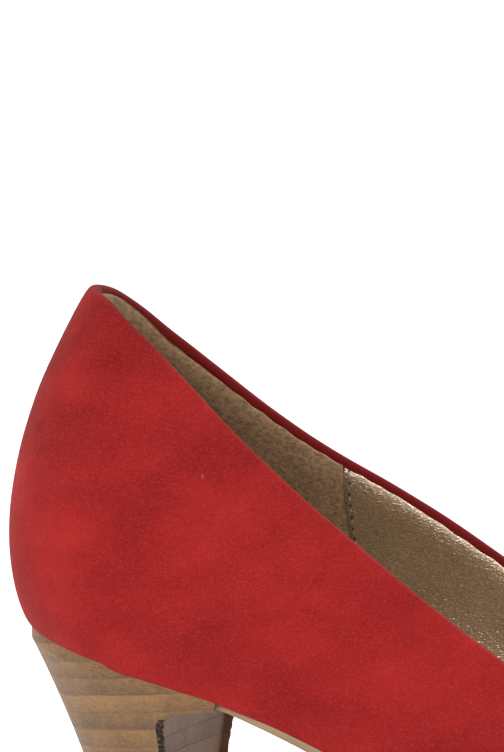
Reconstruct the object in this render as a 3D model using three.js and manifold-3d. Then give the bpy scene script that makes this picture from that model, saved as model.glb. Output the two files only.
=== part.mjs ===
// High heel court pump for the right foot, built up as a cemented shoe with a wrapped, stacked-look heel.
// Millimetres. +X runs to the toe, +Y to the inner (medial) side, +Z up; the shoe stands on z = 0.
// The whole group is moved at the end so that the origin lies under the middle of the shoe.
import * as THREE from "three";
import { mergeVertices } from "three/addons/utils/BufferGeometryUtils.js";
import Module from "manifold-3d";

// ---------------------------------------------------------------- driving dimensions
const shoe = {
  length: 238, // feather line from heel to toe, measured along the floor
  heelHeight: 60, // floor to the underside of the sole at the back of the seat
  seatAngle: 14.5, // slope of the heel seat, degrees
  seatLength: 35, // straight part of the seat
  treadStart: 148, // where the sole comes down on the floor
  treadEnd: 183, // where it lifts off again
  toeSpring: 7,
  toeAngle: 9, // slope of the sole at the toe tip, degrees
};
const feather = { seatRound: 27, seatWidth: 51, waistWidth: 49, ballWidth: 77, toeWidth: 60, tipShift: 3 };
const topline = { back: 9.4, round: 14, roundWidth: 28, width: 52, throat: 152 };

const gap = 0.3; // glue line left between two layers
const liningGap = 0.32; // between the upper and its lining
const seam = 0.3; // open line where two cut edges meet
const leather = { upper: 1.1, fold: 0.7, slot: 1, foldLength: 6, lasting: 11, lining: 0.8, reveal: 1.5 };
const stiffener = { counter: 1.2, puff: 0.8, start: 2, gap: 0.3 };
const tape = { thickness: 0.4, width: 5 };
const board = { insole: 1.4, shank: 1.4, steel: 1.1, steelWidth: 11, filler: 1.1 };
const steelSpan = { from: 16, to: 118, clear: 1.5 };
const sock = { thickness: 0.9, heelCushion: 2.5, ballCushion: 2.0, cushionInset: 3, play: 0.6 };
const outsole = { seat: 0.7, seatEnd: 27, tread: 3.0, proud: 1.0 };
const heel = {
  liftThickness: 6,
  baseBack: 16.5, // rearmost point of the heel's foot, from the back of the feather line
  baseFront: 27.3,
  baseWidth: 13,
  lip: 38.5, // how far forward the heel runs under the seat
  backFlare: 1.7,
  sideFlare: 1.35,
  filletStart: 0.935, // share of the height where the breast starts to curve forward
  wrap: 1.0,
  breast: 1.0,
  breastRecess: 0.4,
  breastHollow: 3,
};
const tube = { radius: 2.5, bore: 1.55, belowScrew: 1.5 };
const pin = { radius: 1.4, above: 14, below: 4.3 };
const screw = { radius: 1.9, headRadius: 4, head: 0.8, length: 24, x: 22 };
const nail = { radius: 0.9, headRadius: 2, head: 0.6, length: 12, spots: [[17, 8], [25, 10]] };
const rivet = { radius: 1.5, headRadius: 3, head: 0.6, flare: 2.3, spots: { rear: 44, front: 106 } };
const holeClearance = 0.15;

// ---------------------------------------------------------------- mesh density
const ribSteps = 3; // ribs drawn between two design ribs
// where the rows of the wall lie between the feather line (0) and the topline (1)
const wallParts = [0, 0.05, 0.11, 0.19, 0.29, 0.41, 0.54, 0.67, 0.79, 0.9, 1];

// ---------------------------------------------------------------- materials
const finish = (color, roughness, metalness = 0) => new THREE.MeshStandardMaterial({ color, roughness, metalness });
const materials = {
  suede: finish(0xab2428, 0.95),
  gripSuede: finish(0x7d6b4f, 0.95),
  liningLeather: finish(0x7a6548, 0.45, 0.35),
  veneer: finish(0x9a7a55, 0.7),
  breastVeneer: finish(0x6f5f50, 0.7),
  soleLeather: finish(0x8a6a4a, 0.6),
  rubber: finish(0x2b2420, 0.6),
  plastic: finish(0xd8d2c4, 0.5),
  fibreboard: finish(0xb08d62, 0.9),
  foam: finish(0xe2dccb, 0.95),
  cork: finish(0xb58a58, 0.95),
  steel: finish(0xa8abae, 0.35, 0.9),
  textile: finish(0xe8e4da, 0.9),
};

// ---------------------------------------------------------------- small helpers
const rad = THREE.MathUtils.degToRad;
const { lerp, smoothstep } = THREE.MathUtils;
const vec = (x, y, z) => new THREE.Vector3(x, y, z);
const along = (from, direction, distance) => from.clone().addScaledVector(direction, distance);
const span = (from, to, steps) => Array.from({ length: steps + 1 }, (_, i) => lerp(from, to, i / steps));

/** Height and slope at x of a smooth line through knots { x, z, slope }. */
function smoothLine(knots, x) {
  const last = knots.length - 2;
  const i = Math.min(last, Math.max(0, knots.findIndex((k) => x < k.x) - 1 + (x >= knots.at(-1).x ? last + 2 : 0)));
  const [a, b] = [knots[i], knots[i + 1]];
  const width = b.x - a.x;
  const t = (x - a.x) / width;
  const rise = (a.z - b.z) / width;
  const height =
    (2 * t ** 3 - 3 * t ** 2 + 1) * a.z +
    (t ** 3 - 2 * t ** 2 + t) * width * a.slope +
    (3 * t ** 2 - 2 * t ** 3) * b.z +
    (t ** 3 - t ** 2) * width * b.slope;
  const slope = (6 * t ** 2 - 6 * t) * rise + (3 * t ** 2 - 4 * t + 1) * a.slope + (3 * t ** 2 - 2 * t) * b.slope;
  return { height, slope };
}

/** A closed body between two matching grids of points, outer[i][j] and inner[i][j]; collapsed faces are left out. */
function shell(outer, inner) {
  const points = [];
  const triangle = (a, b, c) => {
    if (a.distanceTo(b) < 1e-4 || b.distanceTo(c) < 1e-4 || c.distanceTo(a) < 1e-4) return;
    points.push(a, b, c);
  };
  const quad = (a, b, c, d) => {
    triangle(a, b, c);
    triangle(a, c, d);
  };
  const rows = outer.length - 1;
  const columns = outer[0].length - 1;
  for (let i = 0; i < rows; i++) {
    for (let j = 0; j < columns; j++) {
      quad(outer[i][j], outer[i + 1][j], outer[i + 1][j + 1], outer[i][j + 1]);
      quad(inner[i][j], inner[i][j + 1], inner[i + 1][j + 1], inner[i + 1][j]);
    }
    quad(inner[i][0], inner[i + 1][0], outer[i + 1][0], outer[i][0]);
    quad(outer[i][columns], outer[i + 1][columns], inner[i + 1][columns], inner[i][columns]);
  }
  for (let j = 0; j < columns; j++) {
    quad(outer[0][j], outer[0][j + 1], inner[0][j + 1], inner[0][j]);
    quad(inner[rows][j], inner[rows][j + 1], outer[rows][j + 1], outer[rows][j]);
  }
  return facingOut(points);
}

/** A closed body through a stack of closed rings, with a fan on the first and on the last ring. */
function stack(rings) {
  const points = [];
  const size = rings[0].length;
  const middle = (ring) => ring.reduce((sum, p) => sum.add(p), vec(0, 0, 0)).divideScalar(size);
  const [bottom, top] = [middle(rings[0]), middle(rings.at(-1))];
  for (let j = 0; j < size; j++) {
    const k = (j + 1) % size;
    points.push(bottom, rings[0][k], rings[0][j], top, rings.at(-1)[j], rings.at(-1)[k]);
    for (let i = 0; i + 1 < rings.length; i++) {
      const [low, high] = [rings[i], rings[i + 1]];
      points.push(low[j], low[k], high[k], low[j], high[k], high[j]);
    }
  }
  return facingOut(points);
}

/** A triangle list as a geometry, turned round if its faces point inwards. */
function facingOut(points) {
  let volume = 0;
  for (let i = 0; i < points.length; i += 3) {
    volume += points[i].dot(points[i + 1].clone().cross(points[i + 2]));
  }
  if (volume < 0) {
    for (let i = 0; i < points.length; i += 3) [points[i], points[i + 1]] = [points[i + 1], points[i]];
  }
  return new THREE.BufferGeometry().setFromPoints(points);
}

const manifold = await Module();
manifold.setup();

/** A geometry as a manifold-3d solid. */
function solid(geometry) {
  const bare = new THREE.BufferGeometry().setAttribute("position", geometry.getAttribute("position"));
  if (geometry.index) bare.setIndex(geometry.index);
  const merged = mergeVertices(bare, 1e-4);
  const vertProperties = new Float32Array(merged.getAttribute("position").array);
  const triVerts = new Uint32Array(merged.index.array);
  return new manifold.Manifold(new manifold.Mesh({ numProp: 3, vertProperties, triVerts }));
}

/** A manifold-3d solid as a geometry. */
function geometryOf(body) {
  const { vertProperties, triVerts } = body.getMesh();
  return new THREE.BufferGeometry()
    .setAttribute("position", new THREE.BufferAttribute(new Float32Array(vertProperties), 3))
    .setIndex(new THREE.BufferAttribute(new Uint32Array(triVerts), 1));
}

/** A body with other bodies cut out of it. */
function cut(geometry, ...tools) {
  return geometryOf(tools.reduce((body, tool) => body.subtract(solid(tool)), solid(geometry)));
}

/** What two bodies have in common. */
function common(a, b) {
  return geometryOf(solid(a).intersect(solid(b)));
}

/** A turned body from its profile of [radius, height] points, standing on +Z. */
function turned(profile, segments = 16) {
  return new THREE.LatheGeometry(profile.map(([r, z]) => new THREE.Vector2(r, z)), segments).rotateX(Math.PI / 2);
}

// ---------------------------------------------------------------- the bottom line of the lasted upper
const treadLevel = outsole.tread + gap;
const seatSlope = -Math.tan(rad(shoe.seatAngle));
const seatStack = (2 * gap + outsole.seat) / Math.cos(rad(shoe.seatAngle));
const seatTop = shoe.heelHeight + seatStack;
const bottomKnots = [
  { x: 0, z: seatTop, slope: seatSlope },
  { x: shoe.seatLength, z: seatTop + seatSlope * shoe.seatLength, slope: seatSlope },
  { x: shoe.treadStart, z: treadLevel, slope: 0 },
  { x: shoe.treadEnd, z: treadLevel, slope: 0 },
  { x: shoe.length, z: treadLevel + shoe.toeSpring, slope: Math.tan(rad(shoe.toeAngle)) },
];
const bottomLine = (x) => smoothLine(bottomKnots, x).height;

/** The direction straight out of the bottom line at x, pointing into the shoe. */
function bottomNormal(x) {
  return vec(-smoothLine(bottomKnots, x).slope, 0, 1).normalize();
}

/** How much taller a layer stands when it is measured straight up from the sloping bottom line. */
const steepness = (x) => Math.hypot(1, smoothLine(bottomKnots, x).slope);

/** The point over a place in plan that lies a level above (or, negative, below) the bottom line. */
function over(x, y, level) {
  return vec(x, y, bottomLine(x) + level * steepness(x));
}

/** The point reached from the bottom line by going a level square to it. */
function square(x, y, level) {
  return along(vec(x, y, bottomLine(x)), bottomNormal(x), level);
}

// ---------------------------------------------------------------- design ribs
// Each rib runs from the feather line (foot) up to the topline (top). Places are [x, y outside, y inside].
// high is the wall above the bottom line, outside and inside; leave and arrive are how far the leather
// swings outwards, and up from the feather line or down from the topline, before it turns.
const seatY = (degrees) => (feather.seatWidth / 2) * Math.sin(rad(degrees));
const seatX = (degrees) => feather.seatRound * (1 - Math.cos(rad(degrees)));
const roundY = (degrees) => (topline.roundWidth / 2) * Math.sin(rad(degrees));
const roundX = (degrees) => topline.back + topline.round * (1 - Math.cos(rad(degrees)));
const [waist, ball, toe] = [feather.waistWidth / 2, feather.ballWidth / 2, feather.toeWidth / 2];
const open = topline.width / 2;
const share = (part) => part * shoe.length;
const reach = (part) => lerp(roundX(90), topline.throat, part);
const ribs = [
  { foot: [0, 0, 0], top: [topline.back, 0, 0], high: [59.2, 59.2], leave: [8.2, 14], arrive: [12.7, 21] },
  { foot: [seatX(30), seatY(30), seatY(30)], top: [roundX(30), roundY(30), roundY(30)],
    high: [59.4, 58.3], leave: [8.2, 14], arrive: [11.8, 21] },
  { foot: [seatX(60), seatY(60), seatY(60)], top: [roundX(60), roundY(60), roundY(60)],
    high: [58.6, 55.5], leave: [7.3, 14], arrive: [10.9, 20] },
  { foot: [seatX(90), seatY(90), seatY(90)], top: [roundX(90), roundY(90), roundY(90)],
    high: [54.9, 51.7], leave: [6.5, 15], arrive: [11, 19] },
  { foot: [share(0.19), waist + 0.8, waist + 0.8], top: [reach(0.152), open - 6.8, open - 6.8],
    high: [42.8, 41.6], leave: [5.5, 14], arrive: [8, 17] },
  { foot: [share(0.286), waist, waist - 0.5], top: [reach(0.295), open - 3.2, open - 3.2],
    high: [36.9, 39.1], leave: [4, 13], arrive: [5, 14] },
  { foot: [share(0.412), waist + 1.5, waist - 1], top: [reach(0.5), open, open - 0.5],
    high: [33.4, 37.0], leave: [3.5, 12], arrive: [4.5, 12] },
  { foot: [share(0.555), ball - 4, ball - 6], top: [reach(0.69), open + 1, open],
    high: [32.8, 36.3], leave: [3, 13], arrive: [8, 9] },
  { foot: [share(0.69), ball + 0.5, ball - 0.5], top: [reach(0.835), open - 1, open - 2],
    high: [35, 39], leave: [2.5, 14], arrive: [13, 7] },
  { foot: [share(0.832), toe - 1, toe + 1], top: [reach(0.937), open - 7, open - 7],
    high: [39, 41], leave: [3, 14], arrive: [20, 8] },
  { foot: [share(0.932), toe - 14, toe - 8.5], top: [reach(0.98), open - 15, open - 14],
    high: [41, 41.5], leave: [3.5, 14], arrive: [26, 10] },
  { foot: [share(0.985), toe - 22.5, toe - 18.5], top: [reach(0.996), open - 22, open - 21],
    high: [41.5, 42], leave: [4, 13.5], arrive: [30, 12] },
  { foot: [shoe.length, -feather.tipShift, feather.tipShift], top: [topline.throat, 0, 0],
    high: [42, 42], leave: [4, 13], arrive: [32, 13] },
];
const lastRib = ribs.length - 1;
const ringSize = 2 * lastRib;
const outside = -1; // the outer side of a right shoe lies on -Y
const inside = 1;

/** A closed curve through one value per rib: the outer side from heel to toe, then the inner side back again. */
function ring(value) {
  const outer = ribs.map((rib) => value(rib, 0, outside));
  const inner = ribs.slice(1, lastRib).reverse().map((rib) => value(rib, 1, inside));
  return new THREE.CatmullRomCurve3([...outer, ...inner], true, "centripetal");
}

const footRing = ring(({ foot }, side, sign) => vec(foot[0], sign * foot[1 + side], 0));
const topRing = ring(({ top, high }, side, sign) =>
  vec(top[0], sign * top[1 + side], bottomLine(top[0]) + high[side]));
const swingRing = ring(({ leave, arrive }) => vec(leave[0], leave[1], arrive[0]));
const dropRing = ring(({ arrive }) => vec(arrive[1], 0, 0));

/** Position round the shoe as 0..1 from a rib number: positive on the outer side, negative on the inner side. */
const turn = (rib) => (((rib / ringSize) % 1) + 1) % 1;
const nearest = (rib) => Math.min(Math.abs(rib), ringSize - Math.abs(rib));

/** The direction in plan that points out of a closed ring at a rib number. */
function outward(curve, rib) {
  const step = 0.02;
  const run = curve.getPoint(turn(rib + step)).sub(curve.getPoint(turn(rib - step)));
  return vec(run.y, -run.x, 0).normalize();
}

/** A point of the feather line, moved inwards in plan by inset. */
function footPoint(rib, inset = 0) {
  return along(footRing.getPoint(turn(rib)), outward(footRing, rib), -inset);
}

/** The rib number where the feather line reaches a distance from the back. */
function ribAt(x) {
  return span(0, lastRib, 400).find((rib) => footPoint(rib).x >= x);
}

/** The outer face of the upper along one rib, from the feather line up. */
function wallCurve(rib) {
  const foot = footPoint(rib);
  foot.z = bottomLine(foot.x);
  const top = topRing.getPoint(turn(rib));
  const swing = swingRing.getPoint(turn(rib));
  const drop = dropRing.getPoint(turn(rib)).x;
  const low = along(along(foot, outward(footRing, rib), swing.x), vec(0, 0, 1), swing.y);
  const high = along(along(top, outward(topRing, rib), swing.z), vec(0, 0, 1), -drop);
  return new THREE.CubicBezierCurve3(foot, low, high, top);
}

const wallCurves = new Map();
function wall(rib) {
  const key = rib.toFixed(4);
  if (!wallCurves.has(key)) wallCurves.set(key, wallCurve(rib));
  return wallCurves.get(key);
}

/** Point, upward direction and inward normal of the upper's outer face at a share of a rib's length. */
function face(rib, part) {
  const step = 0.05;
  const curve = wall(rib);
  const up = curve.getTangentAt(Math.min(part, 0.999));
  const run = wall(rib + step).getPointAt(part).sub(wall(rib - step).getPointAt(part));
  const inward = up.clone().cross(run).normalize();
  return { point: curve.getPointAt(part), up, inward, length: curve.getLength() };
}

const wallLengths = ribs.map((_, rib) => wall(rib).getLength());
const extremes = [Math.min(...wallLengths), Math.max(...wallLengths)];

/** How much the lining stands off the upper to make room for the fold, the counter and the toe puff. */
function packing(rib, part, length) {
  const place = nearest(rib);
  const below = (1 - part) * length;
  const foldEnd = leather.foldLength + 0.11 * length;
  const fold = 1 - smoothstep(below, foldEnd, foldEnd + 10);
  const counter = 1 - smoothstep(place, 5, 6.4);
  const puff = smoothstep(place, 7.6, 9) * (1 - smoothstep(part, puffTop, puffTop + 0.2));
  const foldRoom = leather.slot + leather.fold;
  return Math.max(fold * foldRoom, counter * (stiffener.counter + stiffener.gap), puff * (stiffener.puff + stiffener.gap));
}
const puffTop = 0.5;

/** A layer of the upper between two rib numbers, from a low to a high share of the wall; depth is below its face. */
function layer({ from, to, low, high, outerDepth, thickness, endGap = seam / 2 }) {
  const steps = Math.round((to - from) * ribSteps);
  const faces = [[], []];
  span(from, to, steps).forEach((rib, i) => {
    const { length } = face(rib, 0.5);
    const ease = i === 0 ? endGap : i === steps ? -endGap : 0;
    const shift = wall(rib + 0.05).getPointAt(0.5).sub(wall(rib - 0.05).getPointAt(0.5)).setLength(Math.abs(ease));
    if (ease < 0) shift.negate();
    const [bottom, top] = [low(length, rib), high(length, rib)];
    const between = wallParts.filter((part) => extremes.every((l) => part > low(l) && part < high(l)));
    const points = [bottom, ...between, top].map((part) => {
      const { point, inward } = face(rib, part);
      const depth = outerDepth(rib, part, length);
      const base = ease ? point.add(shift) : point;
      return [along(base, inward, depth), along(base, inward, depth + thickness)];
    });
    faces[0].push(points.map((pair) => pair[0]));
    faces[1].push(points.map((pair) => pair[1]));
  });
  return shell(faces[0], faces[1]);
}

// ---------------------------------------------------------------- upper
const foldDepth = leather.upper + leather.slot + leather.fold;

/** The leather's outer and inner line along one rib: lasting margin, wall, rolled top edge and inner fold. */
function upperSection(rib) {
  const marginInsets = [leather.lasting, leather.lasting / 2];
  const outer = marginInsets.map((inset) => {
    const p = footPoint(rib, inset);
    return over(p.x, p.y, 0);
  });
  const inner = [...marginInsets, 0.7 * leather.upper].map((inset) => {
    const p = footPoint(rib, inset);
    return over(p.x, p.y, leather.upper);
  });
  outer.push(face(rib, 0).point);
  for (const part of wallParts.slice(1)) {
    const { point, inward } = face(rib, part);
    outer.push(point);
    inner.push(along(point, inward, leather.upper));
  }
  const { point, up, inward } = face(rib, 1);
  const [rollOut, rollIn] = [foldDepth / 2, leather.slot / 2];
  const centre = along(point, inward, rollOut);
  for (const angle of [45, 90, 135]) {
    const [c, s] = [-Math.cos(rad(angle)), Math.sin(rad(angle))];
    outer.push(along(along(centre, inward, c * rollOut), up, s * rollOut));
    inner.push(along(along(centre, inward, c * rollIn), up, s * rollIn));
  }
  for (const drop of [0, leather.foldLength / 2, leather.foldLength]) {
    const beside = face(rib, 1 - drop / wall(rib).getLength());
    outer.push(along(beside.point, beside.inward, foldDepth));
    inner.push(along(beside.point, beside.inward, leather.upper + leather.slot));
  }
  return { outer, inner };
}

function upper() {
  const sections = span(0, ringSize, ringSize * ribSteps).map(upperSection);
  const part = (section, sign) => [...section.outer, ...section.inner].forEach((p) => (p.y += (sign * seam) / 2));
  part(sections[0], outside);
  part(sections.at(-1), inside);
  return shell(sections.map((s) => s.outer), sections.map((s) => s.inner));
}

function toplineTape() {
  const from = (length) => 1 - tape.width / length;
  const depth = () => leather.upper + (leather.slot - tape.thickness) / 2;
  return layer({
    from: 0, to: ringSize, low: from, high: () => 1, outerDepth: depth, thickness: tape.thickness,
  });
}

const wallStart = (length) => stiffener.start / length;

function heelCounter() {
  return layer({
    from: -5, to: 5, low: wallStart, high: (length) => 1 - (leather.foldLength + 1.2) / length,
    outerDepth: () => leather.upper + stiffener.gap, thickness: stiffener.counter,
  });
}

function toePuff() {
  return layer({
    from: 9, to: ringSize - 9, low: wallStart, high: () => puffTop,
    outerDepth: () => leather.upper + stiffener.gap, thickness: stiffener.puff,
  });
}

/** A piece of lining between two ribs; its top edge stays below the rolled edge of the upper. */
function lining(from, to) {
  return layer({
    from, to, low: wallStart, high: (length) => 1 - (leather.reveal - foldDepth / 2) / length,
    outerDepth: (rib, part, length) => leather.upper + liningGap + packing(rib, part, length),
    thickness: leather.lining,
  });
}

// ---------------------------------------------------------------- plates that follow the bottom line
/** Distance in plan from the feather line to a plate's edge that stays clear of the lining at all given levels. */
function liningInset(rib, ...levels) {
  const foot = footPoint(rib);
  const length = wall(rib).getLength();
  const insets = levels.map((level) => {
    const part = level / length;
    const { point, inward } = face(rib, part);
    const depth = leather.upper + liningGap + packing(rib, part, length) + leather.lining + gap;
    return foot.clone().sub(along(point, inward, depth)).dot(outward(footRing, rib));
  });
  return Math.max(...insets) + boardPlay + toePlay * shoe.length * smoothstep(rib, 10.4, lastRib);
}

/** A plate over the feather outline between two ribs, with its inset and its low and high level per rib. */
function plate({ from = 0, to = lastRib, inset, low, high, columns = 2 }) {
  const faces = [[], []];
  for (const rib of span(from, to, Math.round((to - from) * ribSteps))) {
    const [a, b] = [footPoint(rib, inset(rib)), footPoint(-rib, inset(rib))];
    const across = span(0, 1, columns).map((s) => a.clone().lerp(b, s));
    faces[0].push(across.map((p) => over(p.x, p.y, low(rib))));
    faces[1].push(across.map((p) => over(p.x, p.y, high(rib))));
  }
  return shell(faces[0], faces[1]);
}

const shankBoardEnd = 7;
const boardLevel = (rib) => {
  const rear = 1 - smoothstep(rib, shankBoardEnd + 0.3, shankBoardEnd + 1.4);
  return leather.upper + gap + rear * (board.shank + gap);
};
const boardTop = boardLevel(0) + board.insole;
const boardPlay = 0.15; // between the lining and the edge of a board
const toePlay = 0.006; // more of it round the tight curve of the toe, as a share of the shoe's length
const heelCushionEnd = 4.6;
const ballCushion = { from: 7.8, to: 9.8 };
const sockLevel = (rib) => {
  const heelRise = 1 - smoothstep(rib, heelCushionEnd + 0.2, heelCushionEnd + 1.2);
  const ballRise = smoothstep(rib, ballCushion.from - 0.9, ballCushion.from - 0.1) *
    (1 - smoothstep(rib, ballCushion.to + 0.1, ballCushion.to + 0.8));
  const lift = Math.max(heelRise * (sock.heelCushion + gap), ballRise * (sock.ballCushion + gap));
  return boardLevel(rib) + board.insole + gap + lift;
};

/** A plate between two levels whose edge follows the lining. */
function fittedPlate({ low, high, edge = 0, ...rest }) {
  return plate({ inset: (rib) => liningInset(rib, low(rib), high(rib)) + edge, low, high, ...rest });
}

function insoleBoard() {
  return fittedPlate({ low: boardLevel, high: (rib) => boardLevel(rib) + board.insole });
}

function shankBoard() {
  const low = leather.upper + gap;
  return fittedPlate({ to: shankBoardEnd, low: () => low, high: () => low + board.shank });
}

function cushion(from, to, thickness) {
  const low = (rib) => boardLevel(rib) + board.insole + gap;
  return fittedPlate({ from, to, edge: sock.cushionInset, low, high: (rib) => low(rib) + thickness });
}

function sockLining() {
  return fittedPlate({ edge: sock.play, low: sockLevel, high: (rib) => sockLevel(rib) + sock.thickness });
}

function bottomFiller() {
  return plate({
    from: Math.ceil(ribAt(steelSpan.to + steelSpan.clear) * ribSteps) / ribSteps, inset: () => leather.lasting + seam, low: () => 0, high: () => board.filler,
  });
}

function soleThickness(x) {
  return lerp(outsole.seat, outsole.tread, smoothstep(x, outsole.seatEnd, shoe.treadStart));
}

function outsolePlate() {
  const underHeel = heel.wrap + seam + 0.1;
  const inset = (rib) => rib < lipStation + 1e-6 ? underHeel : -outsole.proud * smoothstep(rib, lipStation, 7);
  return plate({ inset, low: (rib) => -gap - soleThickness(footPoint(rib).x), high: () => -gap });
}

function steelShank() {
  const rows = span(steelSpan.from, steelSpan.to, 14);
  const strip = (level) => rows.map((x) => [-0.5, 0.5].map((s) => over(x, s * board.steelWidth, level)));
  return shell(strip(0), strip(board.steel));
}

// ---------------------------------------------------------------- heel
const heelFloor = heel.liftThickness + gap;
const seatUnderside = (x) => over(x, 0, -2 * gap - soleThickness(x)).z;
const lipRib = ribAt(heel.lip);
const lipStation = Math.ceil(lipRib * ribSteps) / ribSteps;

/** The heel's outline under the seat and on its foot, moved inwards; q runs -1..1 round the back. */
function heelOutline(q, inset) {
  const top = footPoint(-q * lipRib, inset);
  const angle = (q * Math.PI) / 2;
  const depth = heel.baseFront - heel.baseBack;
  const half = heel.baseWidth / 2;
  const out = vec(-half * Math.cos(angle), depth * Math.sin(angle), 0).normalize();
  const foot = vec(heel.baseFront - depth * Math.cos(angle), half * Math.sin(angle), 0);
  return { top, foot: along(foot, out, -inset) };
}

const fillet = (t) => {
  const s = Math.max(0, (t - heel.filletStart) / (1 - heel.filletStart));
  return 0.09 * t + 0.91 * (1 - Math.sqrt(Math.max(0, 1 - s * s)));
};

/** A point between the heel's foot and its seat; front is 0 at the back and 1 on the breast. */
function heelPoint({ top, foot }, front, t) {
  const back = Math.max(0, t) ** heel.backFlare;
  return vec(
    lerp(foot.x, top.x, lerp(back, fillet(t), front)),
    lerp(foot.y, top.y, Math.max(0, t) ** heel.sideFlare),
    lerp(heelFloor, seatUnderside(top.x), t),
  );
}

const heelLevels = [0, 0.2, 0.4, 0.6, 0.8, 0.935, 0.96, 0.98, 0.994, 1];
const heelSteps = 18;
const frontness = (q) => Math.abs(q) ** 4;

/** One level of the heel's side, from the outer corner round the back to the inner corner. */
function heelSide(t, inset) {
  return span(-1, 1, heelSteps).map((q) => heelPoint(heelOutline(q, inset), frontness(q), t));
}

/** A sheet that follows the hollow breast, a distance behind its corners, and reaches past the heel all round. */
function breastSheet(back) {
  const margin = 0.06;
  return [-margin, ...heelLevels, 1 + margin].map((t) => {
    const corners = [-1, 1].map((q) => heelOutline(q, -2));
    return span(0, 1, 8).map((s) => {
      const hollow = heel.breastHollow * 4 * s * (1 - s);
      const top = corners[0].top.clone().lerp(corners[1].top, s);
      const foot = corners[0].foot.clone().lerp(corners[1].foot, s);
      top.x -= back + hollow;
      foot.x -= back + 0.3 * hollow;
      return heelPoint({ top, foot }, 1, t);
    });
  });
}

/** The wrap's top edge, which hides the edge of the sole. */
function wrapRim(inset) {
  return heelSide(1, inset).map((p) => vec(p.x, p.y, bottomLine(p.x) - 1.1 * gap));
}

function heelWrap() {
  const sheet = (inset) => [...heelLevels.map((t) => heelSide(t, inset)), wrapRim(inset)];
  return shell(sheet(0), sheet(heel.wrap));
}

/** The space that the wrap leaves inside itself. */
function heelCore() {
  return stack(heelLevels.map((t) => heelSide(t, heel.wrap + gap)));
}

function breastCover() {
  const front = heel.breastRecess;
  return common(heelCore(), shell(breastSheet(front), breastSheet(front + heel.breast)));
}

function heelBlock() {
  const front = heel.breastRecess + heel.breast + gap;
  return cut(heelCore(), shell(breastSheet(front), breastSheet(-heel.lip)));
}

const baseMiddle = (heel.baseBack + heel.baseFront) / 2;

function topLift() {
  const shape = new THREE.Shape(span(-1, 1, 24).map((q) => {
    const { foot } = heelOutline(q, -gap);
    return new THREE.Vector2(foot.x, foot.y);
  }));
  return new THREE.ExtrudeGeometry(shape, { depth: heel.liftThickness, bevelEnabled: false });
}

const screwTip = square(screw.x, 0, boardTop - screw.length).z;
const tubeTop = screwTip - tube.belowScrew;

function heelTube() {
  const [low, high] = [heelFloor + gap, tubeTop];
  const section = new THREE.Shape().absarc(0, 0, tube.radius, 0, 2 * Math.PI);
  section.holes.push(new THREE.Path().absarc(0, 0, tube.bore, 0, 2 * Math.PI));
  return new THREE.ExtrudeGeometry(section, { depth: high - low, bevelEnabled: false, curveSegments: 8 })
    .translate(baseMiddle, 0, low);
}

function liftPin() {
  const chamfer = 0.4;
  const [low, high] = [heel.liftThickness - pin.below, heel.liftThickness + pin.above];
  const profile = [
    [0, low], [pin.radius - chamfer, low], [pin.radius, low + chamfer],
    [pin.radius, high - chamfer], [pin.radius - chamfer, high], [0, high],
  ];
  return turned(profile, 14).translate(baseMiddle, 0, 0);
}

// ---------------------------------------------------------------- nails, screw and rivets
/** Stands a turned body on the insole board at x, y, square to the seat; its height 0 is the board's top. */
function onBoard(geometry, x, y, level) {
  const turnOver = new THREE.Quaternion().setFromUnitVectors(vec(0, 0, 1), bottomNormal(x));
  return geometry.applyQuaternion(turnOver).translate(...square(x, y, level).toArray());
}

/** Profile of a nail or screw, head up, grown all round by extra. */
function nailProfile({ radius, headRadius, head, length }, extra) {
  const point = radius * 1.6;
  return [
    [0, -length - extra], [radius * 0.3 + extra, -length - extra], [radius + extra, -length + point],
    [radius + extra, -head - extra], [headRadius + extra, -head - extra], [headRadius + extra, extra * 4], [0, extra * 4],
  ];
}

const nailPlaces = nail.spots.flatMap(([x, y]) => [outside, inside].map((sign) => [x, sign * y]));
const placedNail = (spec, x, y, extra) => onBoard(turned(nailProfile(spec, extra), 10), x, y, boardTop);
const nails = nailPlaces.map(([x, y]) => placedNail(nail, x, y, 0));
const heelScrew = placedNail(screw, screw.x, 0, 0);
const seatHoles = () => [
  ...nailPlaces.map(([x, y]) => placedNail(nail, x, y, holeClearance)),
  placedNail(screw, screw.x, 0, holeClearance),
];

/** Profile of a shank rivet: head in the board above, foot flared into the steel below. */
function rivetProfile(extra) {
  const bottom = extra ? -extra * 4 : 0;
  const top = leather.upper + gap + board.shank;
  const countersink = rivet.flare - rivet.radius;
  return [
    [0, bottom], [rivet.flare + extra, bottom], [rivet.flare + extra, extra], [rivet.radius + extra, countersink + extra],
    [rivet.radius + extra, top - rivet.head - extra], [rivet.headRadius + extra, top - rivet.head - extra],
    [rivet.headRadius + extra, top + extra * 4], [0, top + extra * 4],
  ];
}
const placedRivet = (x, extra) => onBoard(turned(rivetProfile(extra), 12), x, 0, 0);
const rivetHoles = () => Object.values(rivet.spots).map((x) => placedRivet(x, holeClearance));

const tubeSocket = () => {
  const low = heelFloor - 1;
  const high = tubeTop + gap;
  const profile = [[0, low], [tube.radius + holeClearance, low], [tube.radius + holeClearance, high], [0, high]];
  return turned(profile).translate(baseMiddle, 0, 0);
};
const pinSocket = () => {
  const low = heel.liftThickness - pin.below - gap;
  const high = heel.liftThickness + 1;
  const profile = [[0, low], [pin.radius + holeClearance, low], [pin.radius + holeClearance, high], [0, high]];
  return turned(profile, 16).translate(baseMiddle, 0, 0);
};

// ---------------------------------------------------------------- assembly
const pump = new THREE.Group();
pump.name = "high_heel_pump";

function add(name, geometry, material) {
  const mesh = new THREE.Mesh(geometry, material);
  mesh.name = name;
  pump.add(mesh);
}

const gripEnd = 4 + 1 / ribSteps;
const vampSeam = 7 + 1 / ribSteps;

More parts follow.
